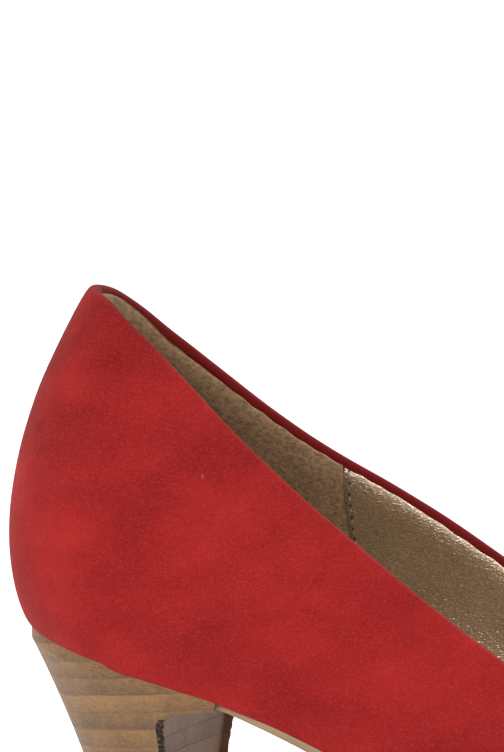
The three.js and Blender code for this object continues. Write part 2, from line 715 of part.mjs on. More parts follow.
add("upper", upper(), materials.suede);
add("topline_tape", toplineTape(), materials.textile);
add("heel_counter", heelCounter(), materials.fibreboard);
add("toe_puff", toePuff(), materials.textile);
add("heel_grip", lining(-gripEnd, gripEnd), materials.gripSuede);
add("quarter_lining_outer", lining(gripEnd, vampSeam), materials.liningLeather);
add("quarter_lining_inner", lining(-vampSeam, -gripEnd), materials.liningLeather);
add("vamp_lining", lining(vampSeam, ringSize - vampSeam), materials.liningLeather);

add("sock_lining", sockLining(), materials.liningLeather);
add("heel_cushion", cushion(0, heelCushionEnd, sock.heelCushion), materials.foam);
add("ball_cushion", cushion(ballCushion.from, ballCushion.to, sock.ballCushion), materials.foam);
add("insole_board", cut(insoleBoard(), ...seatHoles()), materials.fibreboard);
add("shank_board", cut(shankBoard(), ...seatHoles(), ...rivetHoles()), materials.fibreboard);
add("steel_shank", cut(steelShank(), ...seatHoles(), ...rivetHoles()), materials.steel);
for (const [place, x] of Object.entries(rivet.spots)) {
  add(`shank_rivet_${place}`, placedRivet(x, 0), materials.steel);
}
add("bottom_filler", bottomFiller(), materials.cork);
add("outsole", cut(outsolePlate(), ...seatHoles()), materials.soleLeather);

add("heel_block", cut(heelBlock(), ...seatHoles(), tubeSocket()), materials.plastic);
add("heel_wrap", heelWrap(), materials.veneer);
add("heel_breast_cover", breastCover(), materials.breastVeneer);
add("heel_tube", heelTube(), materials.steel);
add("top_lift", cut(topLift(), pinSocket()), materials.rubber);
add("top_lift_pin", liftPin(), materials.steel);
add("heel_screw", heelScrew, materials.steel);
nails.forEach((body, i) => add(`heel_nail_${i + 1}`, body, materials.steel));

const middle = new THREE.Box3().setFromObject(pump).getCenter(vec(0, 0, 0));
pump.position.set(-middle.x, -middle.y, 0);

export default pump;
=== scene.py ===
"""A high heel pump: red suede, bronze lining, stacked heel and leather sole, dressed on its CAD frame."""

import logging
import math
from dataclasses import dataclass
from enum import Enum, IntEnum
from typing import Any, Sequence

import bpy
from mathutils import Matrix, Vector
from mathutils.bvhtree import BVHTree
from mathutils.kdtree import KDTree


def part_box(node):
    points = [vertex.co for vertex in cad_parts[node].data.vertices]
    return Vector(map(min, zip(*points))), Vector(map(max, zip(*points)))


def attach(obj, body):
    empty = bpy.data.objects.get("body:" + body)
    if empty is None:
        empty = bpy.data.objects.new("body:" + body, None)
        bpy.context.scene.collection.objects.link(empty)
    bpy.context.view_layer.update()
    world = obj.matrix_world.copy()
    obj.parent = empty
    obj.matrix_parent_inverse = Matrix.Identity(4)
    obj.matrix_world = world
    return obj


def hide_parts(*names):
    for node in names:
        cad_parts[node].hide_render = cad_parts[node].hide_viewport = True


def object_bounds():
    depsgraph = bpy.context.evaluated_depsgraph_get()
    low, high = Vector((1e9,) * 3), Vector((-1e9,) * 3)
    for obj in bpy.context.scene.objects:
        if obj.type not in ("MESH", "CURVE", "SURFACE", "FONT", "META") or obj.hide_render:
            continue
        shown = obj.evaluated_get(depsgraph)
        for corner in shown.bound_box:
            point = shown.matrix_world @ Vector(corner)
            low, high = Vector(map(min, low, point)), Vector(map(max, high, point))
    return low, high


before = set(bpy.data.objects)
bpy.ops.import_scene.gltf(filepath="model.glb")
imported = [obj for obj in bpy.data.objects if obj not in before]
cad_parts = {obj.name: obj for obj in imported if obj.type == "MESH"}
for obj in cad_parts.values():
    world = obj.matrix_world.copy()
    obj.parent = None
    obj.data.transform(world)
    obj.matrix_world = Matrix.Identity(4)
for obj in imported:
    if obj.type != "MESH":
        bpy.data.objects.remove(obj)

CAD_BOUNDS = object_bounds()
BODY = "root"
# the attribute that marks where the suede is painted with the shade inside its fold
PAINTED_FOLD_SHADE = "painted_fold_shade"
MM = 0.001
TOP_SHADE_DEPTH = 42 * MM     # how far below the top of the shoe its suede is darkened as painted shade, where the light falls off
THIN = 1.3 * MM             # a face with a side shorter than this belongs to the edge of a thin sheet
AXIS_FROM = -88 * MM        # the back end of the line through the middle of the foot's space
AXIS_TO = 45 * MM           # its front end
AHEAD = Vector((1.0, 0.0, 0.0))
UP = Vector((0.0, 0.0, 1.0))
LOG = logging.getLogger("pump")

Colour = tuple[float, float, float]
Object = bpy.types.Object
Socket = bpy.types.NodeSocket
Sockets = dict[str, Socket]
Row = list[tuple[Vector, Vector]]


def rgba(colour: Colour) -> tuple[float, float, float, float]:
    """A colour with full alpha."""
    return (*colour, 1.0)


# ---------------------------------------------------------------- building node trees
class Graph:
    """Adds nodes to one node tree and joins them."""

    def __init__(self, tree: bpy.types.NodeTree) -> None:
        """Takes the tree to fill and empties it."""
        self.tree = tree
        tree.nodes.clear()

    def add(self, kind: str, inputs: dict[Any, Any] | None = None, **settings: Any) -> bpy.types.Node:
        """Adds one node.

        Args:
            kind: the node's type, without the word ShaderNode in front.
            inputs: a value, or an output socket to join, for each input's name or number.
            settings: properties of the node.

        Returns:
            The new node.
        """
        node = self.tree.nodes.new("ShaderNode" + kind)
        for key, value in settings.items():
            setattr(node, key, value)
        for key, value in (inputs or {}).items():
            if isinstance(value, bpy.types.NodeSocket):
                self.tree.links.new(value, node.inputs[key])
            else:
                node.inputs[key].default_value = value
        return node

    def math(self, operation: str, *values: Any, clamp: bool = False) -> Socket:
        """Adds a Math node."""
        return self.add("Math", dict(enumerate(values)), operation=operation, use_clamp=clamp).outputs[0]

    def times(self, first: Any, second: Any, clamp: bool = False) -> Socket:
        """Multiplies two numbers or sockets."""
        return self.math("MULTIPLY", first, second, clamp=clamp)

    def plus(self, first: Any, second: Any, clamp: bool = False) -> Socket:
        """Adds two numbers or sockets."""
        return self.math("ADD", first, second, clamp=clamp)

    def minus(self, first: Any, second: Any, clamp: bool = False) -> Socket:
        """Takes the second number or socket from the first."""
        return self.math("SUBTRACT", first, second, clamp=clamp)

    def remap(self, value: Socket, low: float, high: float, to_low: float = 0.0,
              to_high: float = 1.0) -> Socket:
        """Stretches a value from one range to another, held at its ends."""
        return self.add("MapRange", {0: value, 1: low, 2: high, 3: to_low, 4: to_high}).outputs[0]

    def mix(self, share: Any, first: Any, second: Any, blend: str = "MIX") -> Socket:
        """Mixes two colours.

        Args:
            share: how much of the second, from 0 to 1.
            first: the first colour.
            second: the second colour.
            blend: the way they mix.

        Returns:
            The mixed colour.
        """
        colours = [rgba(c) if isinstance(c, tuple) and len(c) == 3 else c for c in (first, second)]
        node = self.add("Mix", {0: share, 6: colours[0], 7: colours[1]}, data_type="RGBA", blend_type=blend)
        return node.outputs[2]

    def noise(self, vector: Any, scale: Any, detail: float = 3.0, roughness: float = 0.55,
              **more: Any) -> Socket:
        """Adds a Noise texture."""
        inputs = {"Vector": vector, "Scale": scale, "Detail": detail, "Roughness": roughness, **more}
        return self.add("TexNoise", inputs).outputs["Fac"]

    def stretched(self, vector: Any, scale: Sequence[float], turn: Sequence[float] = (0, 0, 0)) -> Socket:
        """Turns and scales a position before a texture reads it."""
        rotation = tuple(math.radians(a) for a in turn)
        return self.add("Mapping", {"Vector": vector, "Scale": tuple(scale), "Rotation": rotation}).outputs[0]

    def bump(self, height: Socket, depth: float, strength: float = 1.0) -> Socket:
        """Adds a Bump node."""
        return self.add("Bump", {"Height": height, "Distance": depth, "Strength": strength}).outputs[0]


class Effect(Enum):
    """The surface effects that several materials share, each one a node group."""

    NAP = "brushed_nap"
    GRAIN = "leather_grain"
    STACK = "stacked_layers"
    WEAVE = "plain_weave"
    FIBRE = "pressed_fibre"
    SCRATCHES = "fine_scratches"
    DUST = "dust_specks"
    WEAR = "edge_wear"


class EffectGroups:
    """Builds the node group of each shared effect, once."""

    SOCKETS: dict[Effect, tuple[dict[str, float], tuple[str, ...]]] = {
        Effect.NAP: ({"Patch Scale": 90.0, "Patches": 1.0, "Nap Scale": 2600.0, "Clumps": 0.14,
                      "Fleck Amount": 0.4}, ("Tone", "Fleck", "Painted Fibre Glint", "Height")),
        Effect.GRAIN: ({"Scale": 1900.0, "Stretch": 1.9, "Wrinkle": 0.5}, ("Height", "Crease", "Tone")),
        Effect.STACK: ({"Pitch": 0.00305, "Offset": 0.0, "Tilt": 0.0, "Line Width": 0.07},
                       ("Tone", "Line", "Height", "Shade")),
        Effect.WEAVE: ({"Threads": 1800.0}, ("Height", "Tone")),
        Effect.FIBRE: ({"Scale": 900.0}, ("Height", "Tone")),
        Effect.SCRATCHES: ({"Scale": 500.0, "Density": 0.5}, ("Mask", "Height")),
        Effect.DUST: ({"Scale": 1500.0, "Amount": 0.1}, ("Mask",)),
        Effect.WEAR: ({"Width": 0.5, "Scale": 700.0}, ("Mask",)),
    }

    def __init__(self) -> None:
        """Starts with no group built."""
        self.built: dict[Effect, bpy.types.NodeTree] = {}

    def group(self, effect: Effect) -> bpy.types.NodeTree:
        """An effect's group.

        Args:
            effect: which effect.

        Returns:
            The group, built at its first use.
        """
        if effect not in self.built:
            self.built[effect] = self._build(effect)
        return self.built[effect]

    def _build(self, effect: Effect) -> bpy.types.NodeTree:
        """Makes one effect's group with its sockets.

        Args:
            effect: which effect.

        Returns:
            The group.
        """
        tree = bpy.data.node_groups.new(effect.value, "ShaderNodeTree")
        numbers, outputs = self.SOCKETS[effect]
        tree.interface.new_socket("Vector", in_out="INPUT", socket_type="NodeSocketVector")
        for name, default in numbers.items():
            socket = tree.interface.new_socket(name, in_out="INPUT", socket_type="NodeSocketFloat")
            socket.default_value = default
        for name in outputs:
            tree.interface.new_socket(name, in_out="OUTPUT", socket_type="NodeSocketFloat")
        graph = Graph(tree)
        given = tree.nodes.new("NodeGroupInput").outputs
        made = getattr(self, "_" + effect.name.lower())(graph, given)
        end = tree.nodes.new("NodeGroupOutput")
        for name in outputs:
            tree.links.new(made[name], end.inputs[name])
        return tree

    def _nap(self, g: Graph, i: Any) -> Sockets:
        """Suede brushed in soft patches, with short fibres, a mask where fibres are painted catching the
        light, and a few stray flecks.

        Args:
            g: the group's tree.
            i: the group's inputs.

        Returns:
            The group's outputs by name.
        """
        at = i["Vector"]
        brushed = g.stretched(at, (0.75, 1.0, 1.15), (0, 35, 0))
        large = g.noise(brushed, i["Patch Scale"], 1.0, 0.4)
        medium = g.noise(brushed, g.times(i["Patch Scale"], 3.3), 3.0, 0.55)
        clumps = g.noise(g.stretched(at, (0.8, 0.8, 1.0)), g.times(i["Nap Scale"], 0.36), 3.0, 0.6)
        fine = g.noise(g.stretched(at, (0.5, 0.5, 1.0)), i["Nap Scale"], 3.0, 0.75)
        patches = g.plus(g.times(g.remap(large, 0.3, 0.7), 0.5), g.times(g.remap(medium, 0.3, 0.7), 0.22))
        centred = g.times(g.minus(patches, 0.36), i["Patches"])
        tone = g.plus(g.plus(centred, 0.34), g.times(g.remap(clumps, 0.34, 0.66), i["Clumps"]))
        tone = g.plus(tone, g.times(g.remap(fine, 0.34, 0.66), 0.2), clamp=True)
        # Mask for the painted highlight: the fine fibres that catch the light.
        painted_fibre_glint = g.remap(fine, 0.5, 0.72)
        cells = g.add("TexVoronoi", {"Vector": g.stretched(at, (1.0, 1.0, 0.4), (20, 30, 0)), "Scale": 260.0})
        spot = g.remap(cells.outputs["Distance"], 0.0, 0.09, 1.0, 0.0)
        rare = g.remap(g.add("SeparateColor", {0: cells.outputs["Color"]}).outputs[0], 0.93, 0.95)
        fleck = g.times(g.times(spot, rare), i["Fleck Amount"], clamp=True)
        height = g.plus(g.times(fine, 0.55), g.times(clumps, 0.45))
        return {"Tone": tone, "Fleck": fleck, "Painted Fibre Glint": painted_fibre_glint, "Height": height}

    def _swirl(self, g: Graph, at: Socket, scale: float, reach: float) -> Socket:
        """A position moved about by slow noise, so that a pattern on it wanders.

        Args:
            g: the group's tree.
            at: the position.
            scale: features of the noise per metre.
            reach: how far it moves, in metres.

        Returns:
            The shift.
        """
        colour = g.add("TexNoise", {"Vector": at, "Scale": scale, "Detail": 2.0}).outputs["Color"]
        centred = g.add("VectorMath", {0: colour, 1: (0.5, 0.5, 0.5)}, operation="SUBTRACT").outputs[0]
        return g.add("VectorMath", {0: centred, "Scale": reach * 2}, operation="SCALE").outputs[0]

    def _grain(self, g: Graph, i: Any) -> Sockets:
        """Leather grain: small pebbles longer along the shoe than up its wall, with finer wrinkles across.

        Args:
            g: the group's tree.
            i: the group's inputs.

        Returns:
            The group's outputs by name.
        """
        shift = self._swirl(g, i["Vector"], 900.0, 0.0003)
        at = g.add("VectorMath", {0: i["Vector"], 1: shift}, operation="ADD").outputs[0]
        split = g.add("SeparateXYZ", {0: at})
        long_way = g.math("DIVIDE", split.outputs[0], i["Stretch"])
        joined = g.add("CombineXYZ", {0: long_way, 1: split.outputs[1], 2: split.outputs[2]}).outputs[0]
        cells = g.add("TexVoronoi", {"Vector": joined, "Scale": i["Scale"]}, feature="SMOOTH_F1")
        pebble = g.remap(cells.outputs["Distance"], 0.0, 0.75, 1.0, 0.0)
        wrinkle = g.noise(joined, g.times(i["Scale"], 0.55), 3.0, 0.6, Distortion=0.6)
        height = g.plus(g.times(pebble, 0.55), g.times(wrinkle, i["Wrinkle"]), clamp=True)
        crease = g.remap(height, 0.32, 0.5, 1.0, 0.0)
        tone = g.noise(i["Vector"], 110.0, 2.0, 0.5)
        return {"Height": height, "Crease": crease, "Tone": tone}

    def _stack(self, g: Graph, i: Any) -> Sockets:
        """Thin leather layers lying flat on each other, each with its own tone and a dark glue line below it.

        Args:
            g: the group's tree.
            i: the group's inputs.

        Returns:
            The group's outputs by name.
        """
        split = g.add("SeparateXYZ", {0: i["Vector"]})
        wave = g.times(g.minus(g.noise(i["Vector"], 90.0, 2.0), 0.5), 0.0005)
        level = g.minus(split.outputs[2], g.times(split.outputs[0], i["Tilt"]))
        high = g.math("DIVIDE", g.plus(g.plus(level, wave), i["Offset"]), i["Pitch"])
        layer = g.math("FLOOR", high)
        part = g.math("FRACT", high)
        line = g.remap(g.math("PINGPONG", high, 0.5), 0.0, i["Line Width"], 1.0, 0.0)
        own = g.add("TexWhiteNoise", {"W": layer}, noise_dimensions="1D").outputs["Value"]
        apart = g.add("CombineXYZ", {0: split.outputs[0], 1: split.outputs[1],
                                     2: g.times(layer, 0.13)}).outputs[0]
        cloud = g.noise(apart, 120.0, 3.0, 0.6)
        streak = g.noise(g.stretched(i["Vector"], (0.16, 0.16, 1.0)), 3600.0, 3.0, 0.7)
        speck = g.noise(g.stretched(i["Vector"], (0.7, 0.7, 1.0)), 2600.0, 2.0, 0.7)
        tone = g.plus(g.times(own, 0.16), g.times(g.remap(cloud, 0.3, 0.7), 0.34))
        tone = g.plus(tone, g.times(g.remap(streak, 0.34, 0.66), 0.24))
        tone = g.plus(tone, g.times(g.remap(speck, 0.36, 0.64), 0.3), clamp=True)
        height = g.minus(g.times(streak, 0.5), g.times(line, 0.6))
        return {"Tone": tone, "Line": line, "Height": height, "Shade": part}

    def _weave(self, g: Graph, i: Any) -> Sockets:
        """Plain weave: warp and weft threads passing over each other.

        Args:
            g: the group's tree.
            i: the group's inputs.

        Returns:
            The group's outputs by name.
        """
        at = g.add("VectorMath", {0: i["Vector"], "Scale": i["Threads"]}, operation="SCALE").outputs[0]
        split = g.add("SeparateXYZ", {0: at})
        warp = g.math("SINE", g.times(split.outputs[0], math.pi))
        weft = g.math("SINE", g.times(g.plus(split.outputs[2], split.outputs[1]), math.pi))
        height = g.remap(g.times(warp, weft), -1.0, 1.0)
        tone = g.noise(i["Vector"], 900.0, 2.0, 0.6)
        return {"Height": height, "Tone": tone}

    def _fibre(self, g: Graph, i: Any) -> Sockets:
        """Pressed board: short fibres lying all ways.

        Args:
            g: the group's tree.
            i: the group's inputs.

        Returns:
            The group's outputs by name.
        """
        along = g.stretched(i["Vector"], (0.3, 1.0, 1.0), (0, 0, 30))
        fibres = g.noise(along, i["Scale"], 4.0, 0.7, Distortion=1.5)
        cloud = g.noise(i["Vector"], 150.0, 2.0, 0.5)
        return {"Height": fibres, "Tone": g.plus(g.times(fibres, 0.6), g.times(cloud, 0.4))}

    def _scratches(self, g: Graph, i: Any) -> Sockets:
        """Fine scratches along the shoe's length, broken up by noise.

        Args:
            g: the group's tree.
            i: the group's inputs.

        Returns:
            The group's outputs by name.
        """
        lines = g.noise(g.stretched(i["Vector"], (0.05, 1.0, 1.0), (0, 0, 12)), i["Scale"], 4.0, 0.75)
        broken = g.noise(i["Vector"], 210.0, 2.0, 0.6)
        mask = g.times(g.remap(lines, 0.56, 0.64), g.remap(broken, 0.4, 0.6), clamp=True)
        mask = g.times(mask, i["Density"], clamp=True)
        return {"Mask": mask, "Height": g.minus(1.0, mask)}

    def _dust(self, g: Graph, i: Any) -> Sockets:
        """Specks of dust.

        Args:
            g: the group's tree.
            i: the group's inputs.

        Returns:
            The group's outputs by name.
        """
        specks = g.add("TexVoronoi", {"Vector": i["Vector"], "Scale": i["Scale"]})
        small = g.remap(specks.outputs["Distance"], 0.05, 0.16, 1.0, 0.0)
        return {"Mask": g.times(small, i["Amount"], clamp=True)}

    def _wear(self, g: Graph, i: Any) -> Sockets:
        """Worn or darkened edges, from how sharply the surface turns.

        Args:
            g: the group's tree.
            i: the group's inputs.

        Returns:
            The group's outputs by name.
        """
        point = g.add("NewGeometry").outputs["Pointiness"]
        low = g.minus(0.56, g.times(i["Width"], 0.1))
        edge = g.add("MapRange", {0: point, 1: low, 2: 0.6}).outputs[0]
        broken = g.remap(g.noise(i["Vector"], i["Scale"], 3.0, 0.6), 0.3, 0.7, 0.4, 1.0)
        return {"Mask": g.times(edge, broken, clamp=True)}


EFFECTS = EffectGroups()


# ---------------------------------------------------------------- finishes
class Surface(Graph):
    """One material's node tree, with the position on the piece and the shader that is filled in."""

    def __init__(self, tree: bpy.types.NodeTree) -> None:
        """Adds the position, the shader and the output.

        Args:
            tree: the material's node tree.
        """
        super().__init__(tree)
        self.at = self.add("TexCoord").outputs["Object"]
        self.shader = self.add("BsdfPrincipled")
        end = self.add("OutputMaterial", {"Surface": self.shader.outputs[0]})
        end.is_active_output = True

    def effect(self, effect: Effect, **values: float) -> Sockets:
        """Places a shared effect, read at the position on the piece.

        Args:
            effect: which effect.
            values: its inputs, with underscores for the spaces in their names.

        Returns:
            Its outputs by name.
        """
        node = self.tree.nodes.new("ShaderNodeGroup")
        node.node_tree = EFFECTS.group(effect)
        self.tree.links.new(self.at, node.inputs["Vector"])
        for key, value in values.items():
            node.inputs[key.replace("_", " ")].default_value = value
        return {output.name: output for output in node.outputs}

    def join(self, **inputs: Any) -> None:
        """Joins sockets to, or sets values on, the shader's inputs.

        Args:
            inputs: a socket or a value for each input, with underscores for the spaces in its name.
        """
        for key, value in inputs.items():
            socket = self.shader.inputs[key.replace("_", " ")]
            if isinstance(value, bpy.types.NodeSocket):
                self.tree.links.new(value, socket)
            else:
                socket.default_value = value


@dataclass(frozen=True)
class Finish:
    """What every finish has: a name and the record's material slot."""

    name: str
    slot: str

    def material(self) -> bpy.types.Material:
        """Makes the finish's material at its first use.

        Returns:
            The material.
        """
        found = bpy.data.materials.get(self.name)
        if found is None:
            found = bpy.data.materials.new(self.name)
            found.use_nodes = True
            self.shade(Surface(found.node_tree))
        return found

    def shade(self, g: Surface) -> None:
        """Fills in the shader; each kind of finish does this its own way."""
        raise NotImplementedError


@dataclass(frozen=True)
class Suede(Finish):
    """Brushed suede: soft patches where the nap lies another way, short fibres and stray flecks."""

    dark: Colour
    light: Colour
    # the colour of stray lint flecks, also used for the painted highlight on the fine fibres
    fleck: Colour
    patch: float = 90.0
    nap: float = 2600.0
    clumps: float = 0.14
    # the darker colour painted as shade on the faces turned in over the top edge
    turned: Colour | None = None
    flecks: float = 0.35
    patches: float = 1.0
    # how much darker the suede is painted towards the top of the shoe, as painted shade
    top_shade: float = 0.0
    depth: float = 0.00022
    sheen: float = 0.25
    sheen_tint: Colour = (1.0, 0.5, 0.45)

    def shade(self, g: Surface) -> None:
        """Mixes the two nap tones, adds the flecks and raises the fibres.

        Args:
            g: the material's surface.
        """
        nap = g.effect(Effect.NAP, Patch_Scale=self.patch, Patches=self.patches, Nap_Scale=self.nap,
                       Clumps=self.clumps, Fleck_Amount=self.flecks)
        # Painted shade: the suede is darkened towards the top of the shoe, where the light falls off.
        height = g.add("SeparateXYZ", {0: g.at}).outputs[2]
        top_shade = g.remap(height, CAD_BOUNDS[1].z - TOP_SHADE_DEPTH, CAD_BOUNDS[1].z, 0.0, self.top_shade)
        colour = g.mix(g.minus(nap["Tone"], top_shade, clamp=True), self.dark, self.light)
        # Painted highlight: the fine fibres are lightened a little towards the fleck colour, as fibres
        # catching the light.
        colour = g.mix(g.times(nap["Painted Fibre Glint"], 0.09), colour, self.fleck)
        colour = g.mix(nap["Fleck"], colour, self.fleck)
        # Painted shade: the faces turned in over the top edge get the darker turned colour, the shade inside
        # the fold.
        if self.turned is not None:
            inner = g.add("Attribute", attribute_name=PAINTED_FOLD_SHADE).outputs["Fac"]
            colour = g.mix(inner, colour, g.mix(nap["Tone"], self.turned, self.dark))
        g.join(Base_Color=colour, Roughness=g.remap(nap["Tone"], 0.0, 1.0, 0.95, 0.86),
               Normal=g.bump(nap["Height"], self.depth, 0.8))
        g.join(Sheen_Weight=self.sheen, Sheen_Roughness=0.5, Sheen_Tint=rgba(self.sheen_tint),
               Specular_IOR_Level=0.15)


@dataclass(frozen=True)
class FoilLeather(Finish):
    """Thin leather with a pale metal foil on it: fine grain, darker creases and a satin shine."""

    deep: Colour
    foil: Colour
    crest: Colour
    metallic: float = 0.75
    roughness: float = 0.42
    grain: float = 1900.0
    stretch: float = 1.9
    depth: float = 0.00016

    def shade(self, g: Surface) -> None:
        """Mixes the foil and the creases, and presses the grain in.

        Args:
            g: the material's surface.
        """
        grain = g.effect(Effect.GRAIN, Scale=self.grain, Stretch=self.stretch, Wrinkle=0.5)
        wear = g.effect(Effect.WEAR, Width=0.4, Scale=900.0)
        foil = g.mix(g.remap(grain["Tone"], 0.3, 0.7, 0.0, 0.25), self.foil, self.deep)
        colour = g.mix(g.times(grain["Crease"], 0.4), foil, self.deep)
        colour = g.mix(g.remap(grain["Height"], 0.55, 0.85), colour, self.crest)
        rough = g.remap(grain["Crease"], 0.0, 1.0, self.roughness, self.roughness + 0.2)
        metal = g.minus(self.metallic, g.times(wear["Mask"], 0.3), clamp=True)
        g.join(Base_Color=colour, Roughness=rough, Metallic=metal,
               Normal=g.bump(grain["Height"], self.depth, 0.8))
        g.join(Specular_IOR_Level=0.5)


@dataclass(frozen=True)
class StackedLeather(Finish):
    """Thin leather layers, cut flush and polished, with dark lines between them."""

    dark: Colour
    light: Colour
    line: Colour
    pitch: float = 0.00305
    offset: float = 0.0
    tilt: float = 0.0
    shading: float = 0.3
    roughness: float = 0.42

    def shade(self, g: Surface) -> None:
        """Colours the layers and their lines.

        Args:
            g: the material's surface.
        """
        stack = g.effect(Effect.STACK, Pitch=self.pitch, Offset=self.offset, Tilt=self.tilt, Line_Width=0.07)
        low = g.minus(1.0, stack["Shade"])
        shaded = g.minus(stack["Tone"], g.times(low, self.shading), clamp=True)
        colour = g.mix(shaded, self.dark, self.light)
        colour = g.mix(g.times(stack["Line"], 0.7), colour, self.line)
        rough = g.remap(stack["Tone"], 0.0, 1.0, self.roughness + 0.12, self.roughness - 0.04)
        g.join(Base_Color=colour, Roughness=rough,
               Normal=g.bump(stack["Height"], 0.00012, 0.7))
        g.join(Specular_IOR_Level=0.28)


@dataclass(frozen=True)
class RawEdge(Finish):
    """The raw cut edge of a veneer: dark crumbled fibre with light ends showing in it."""

    dark: Colour
    light: Colour

    def shade(self, g: Surface) -> None:
        """Scatters the light fibre ends over the dark edge.

        Args:
            g: the material's surface.
        """
        crumb = g.noise(g.at, 1500.0, 3.0, 0.75)
        ends = g.noise(g.stretched(g.at, (0.4, 0.4, 1.0)), 2600.0, 2.0, 0.6)
        colour = g.mix(g.remap(g.times(crumb, ends), 0.27, 0.38), self.dark, self.light)
        g.join(Base_Color=colour, Roughness=g.remap(crumb, 0.2, 0.8, 0.95, 0.8),
               Normal=g.bump(crumb, 0.0006, 1.0))


@dataclass(frozen=True)
class SoleLeather(Finish):
    """Sole leather: burnished edge, waxed bottom, and a tread that is scuffed where it meets the ground."""

    base: Colour
    dark: Colour
    scuffed: Colour
    tread_from: float
    tread_to: float

    def shade(self, g: Surface) -> None:
        """Colours the leather, then scuffs the tread and burnishes the edge.

        Args:
            g: the material's surface.
        """
        grain = g.effect(Effect.GRAIN, Scale=900.0, Stretch=1.2, Wrinkle=0.7)
        scratches = g.effect(Effect.SCRATCHES, Scale=420.0, Density=0.9)
        wear = g.effect(Effect.WEAR, Width=0.6, Scale=800.0)
        place = g.add("SeparateXYZ", {0: g.at})
        near = g.remap(place.outputs[2], 0.0008, 0.0032, 1.0, 0.0)
        ends = g.times(g.remap(place.outputs[0], self.tread_from - 0.02, self.tread_from + 0.01),
                       g.remap(place.outputs[0], self.tread_to - 0.01, self.tread_to + 0.035, 1.0, 0.0))
        patchy = g.remap(g.noise(g.at, 130.0, 4.0, 0.65), 0.35, 0.6)
        tread = g.times(g.times(near, ends), patchy, clamp=True)
        colour = g.mix(g.remap(grain["Tone"], 0.3, 0.7, 0.0, 0.5), self.base, self.dark)
        colour = g.mix(g.times(tread, 0.65), colour, self.scuffed)
        marks = g.times(scratches["Mask"], g.remap(near, 0.0, 1.0, 0.12, 0.7))
        colour = g.mix(marks, colour, self.dark)
        colour = g.mix(g.times(wear["Mask"], 0.5), colour, self.dark)
        rough = g.plus(0.38, g.times(tread, 0.4), clamp=True)
        height = g.plus(g.times(grain["Height"], 0.5), scratches["Height"])
        g.join(Base_Color=colour, Roughness=rough, Normal=g.bump(height, 0.00006, 0.7))
        g.join(Coat_Weight=0.1, Coat_Roughness=0.3)


@dataclass(frozen=True)
class Rubber(Finish):
    """Dense moulded rubber, worn grey at its edges."""

    base: Colour
    worn: Colour

    def shade(self, g: Surface) -> None:
        """Adds mould texture, dust and worn edges.

        Args:
            g: the material's surface.
        """
        wear = g.effect(Effect.WEAR, Width=0.8, Scale=1200.0)
        scratches = g.effect(Effect.SCRATCHES, Scale=700.0, Density=0.8)
        dust = g.effect(Effect.DUST, Scale=1400.0, Amount=0.25)
        mottle = g.noise(g.at, 900.0, 3.0, 0.6)
        colour = g.mix(g.remap(mottle, 0.3, 0.7, 0.0, 0.35), self.base, self.worn)
        marks = g.math("MAXIMUM", g.times(wear["Mask"], 0.6), g.times(scratches["Mask"], 0.5))
        colour = g.mix(g.math("MAXIMUM", marks, dust["Mask"]), colour, self.worn)
        fine = g.noise(g.at, 5200.0, 2.0, 0.6)
        g.join(Base_Color=colour, Roughness=g.remap(mottle, 0.2, 0.8, 0.6, 0.78),
               Normal=g.bump(g.plus(fine, scratches["Height"]), 0.00005, 0.6))


@dataclass(frozen=True)
class Board(Finish):
    """Pressed fibre, cork or foam: mottled, matt and slightly open."""

    base: Colour
    dark: Colour
    scale: float = 900.0
    depth: float = 0.0001

    def shade(self, g: Surface) -> None:
        """Mottles the fibres and leaves them rough.

        Args:
            g: the material's surface.
        """
        fibre = g.effect(Effect.FIBRE, Scale=self.scale)
        dust = g.effect(Effect.DUST, Scale=self.scale * 1.4, Amount=0.4)
        colour = g.mix(g.remap(fibre["Tone"], 0.3, 0.7), self.base, self.dark)
        colour = g.mix(dust["Mask"], colour, self.dark)
        g.join(Base_Color=colour, Roughness=g.remap(fibre["Tone"], 0.2, 0.8, 0.82, 0.95),
               Normal=g.bump(fibre["Height"], self.depth, 0.8))


@dataclass(frozen=True)
class Cloth(Finish):
    """Thin woven cloth for tape and stiffening."""

    base: Colour
    shadow: Colour
    threads: float = 1800.0

    def shade(self, g: Surface) -> None:
        """Weaves the threads and shades the gaps between them.

        Args:
            g: the material's surface.
        """
        weave = g.effect(Effect.WEAVE, Threads=self.threads)
        colour = g.mix(g.times(g.minus(1.0, weave["Height"]), 0.6), self.base, self.shadow)
        colour = g.mix(g.remap(weave["Tone"], 0.3, 0.7, 0.0, 0.2), colour, self.shadow)
        g.join(Base_Color=colour, Roughness=g.remap(weave["Height"], 0.0, 1.0, 0.95, 0.8),
               Normal=g.bump(weave["Height"], 0.00012, 0.8))
        g.join(Sheen_Weight=0.2, Sheen_Roughness=0.5)


@dataclass(frozen=True)
class Steel(Finish):
    """Plain steel with fine drawing marks."""

    base: Colour
    stain: Colour
    roughness: float = 0.35

    def shade(self, g: Surface) -> None:
        """Adds the drawing marks and a slight stain.

        Args:
            g: the material's surface.
        """
        scratches = g.effect(Effect.SCRATCHES, Scale=1600.0, Density=0.8)
        cloud = g.noise(g.at, 400.0, 3.0, 0.6)
        colour = g.mix(g.remap(cloud, 0.45, 0.8, 0.0, 0.5), self.base, self.stain)
        rough = g.plus(self.roughness, g.times(scratches["Mask"], 0.25), clamp=True)
        g.join(Base_Color=colour, Roughness=rough, Metallic=1.0,
               Normal=g.bump(scratches["Height"], 0.00003, 0.6))


@dataclass(frozen=True)
class Plastic(Finish):
    """Moulded heel plastic, seen only inside the heel."""

    base: Colour
    dark: Colour

    def shade(self, g: Surface) -> None:
        """Adds flow marks and a fine moulded texture.

        Args:
            g: the material's surface.
        """
        flow = g.noise(g.stretched(g.at, (1.0, 1.0, 0.3)), 160.0, 3.0, 0.5, Distortion=1.0)
        fine = g.noise(g.at, 3800.0, 2.0, 0.6)
        g.join(Base_Color=g.mix(g.remap(flow, 0.35, 0.65), self.base, self.dark),
               Roughness=g.remap(fine, 0.2, 0.8, 0.42, 0.55), Normal=g.bump(fine, 0.00004, 0.5))


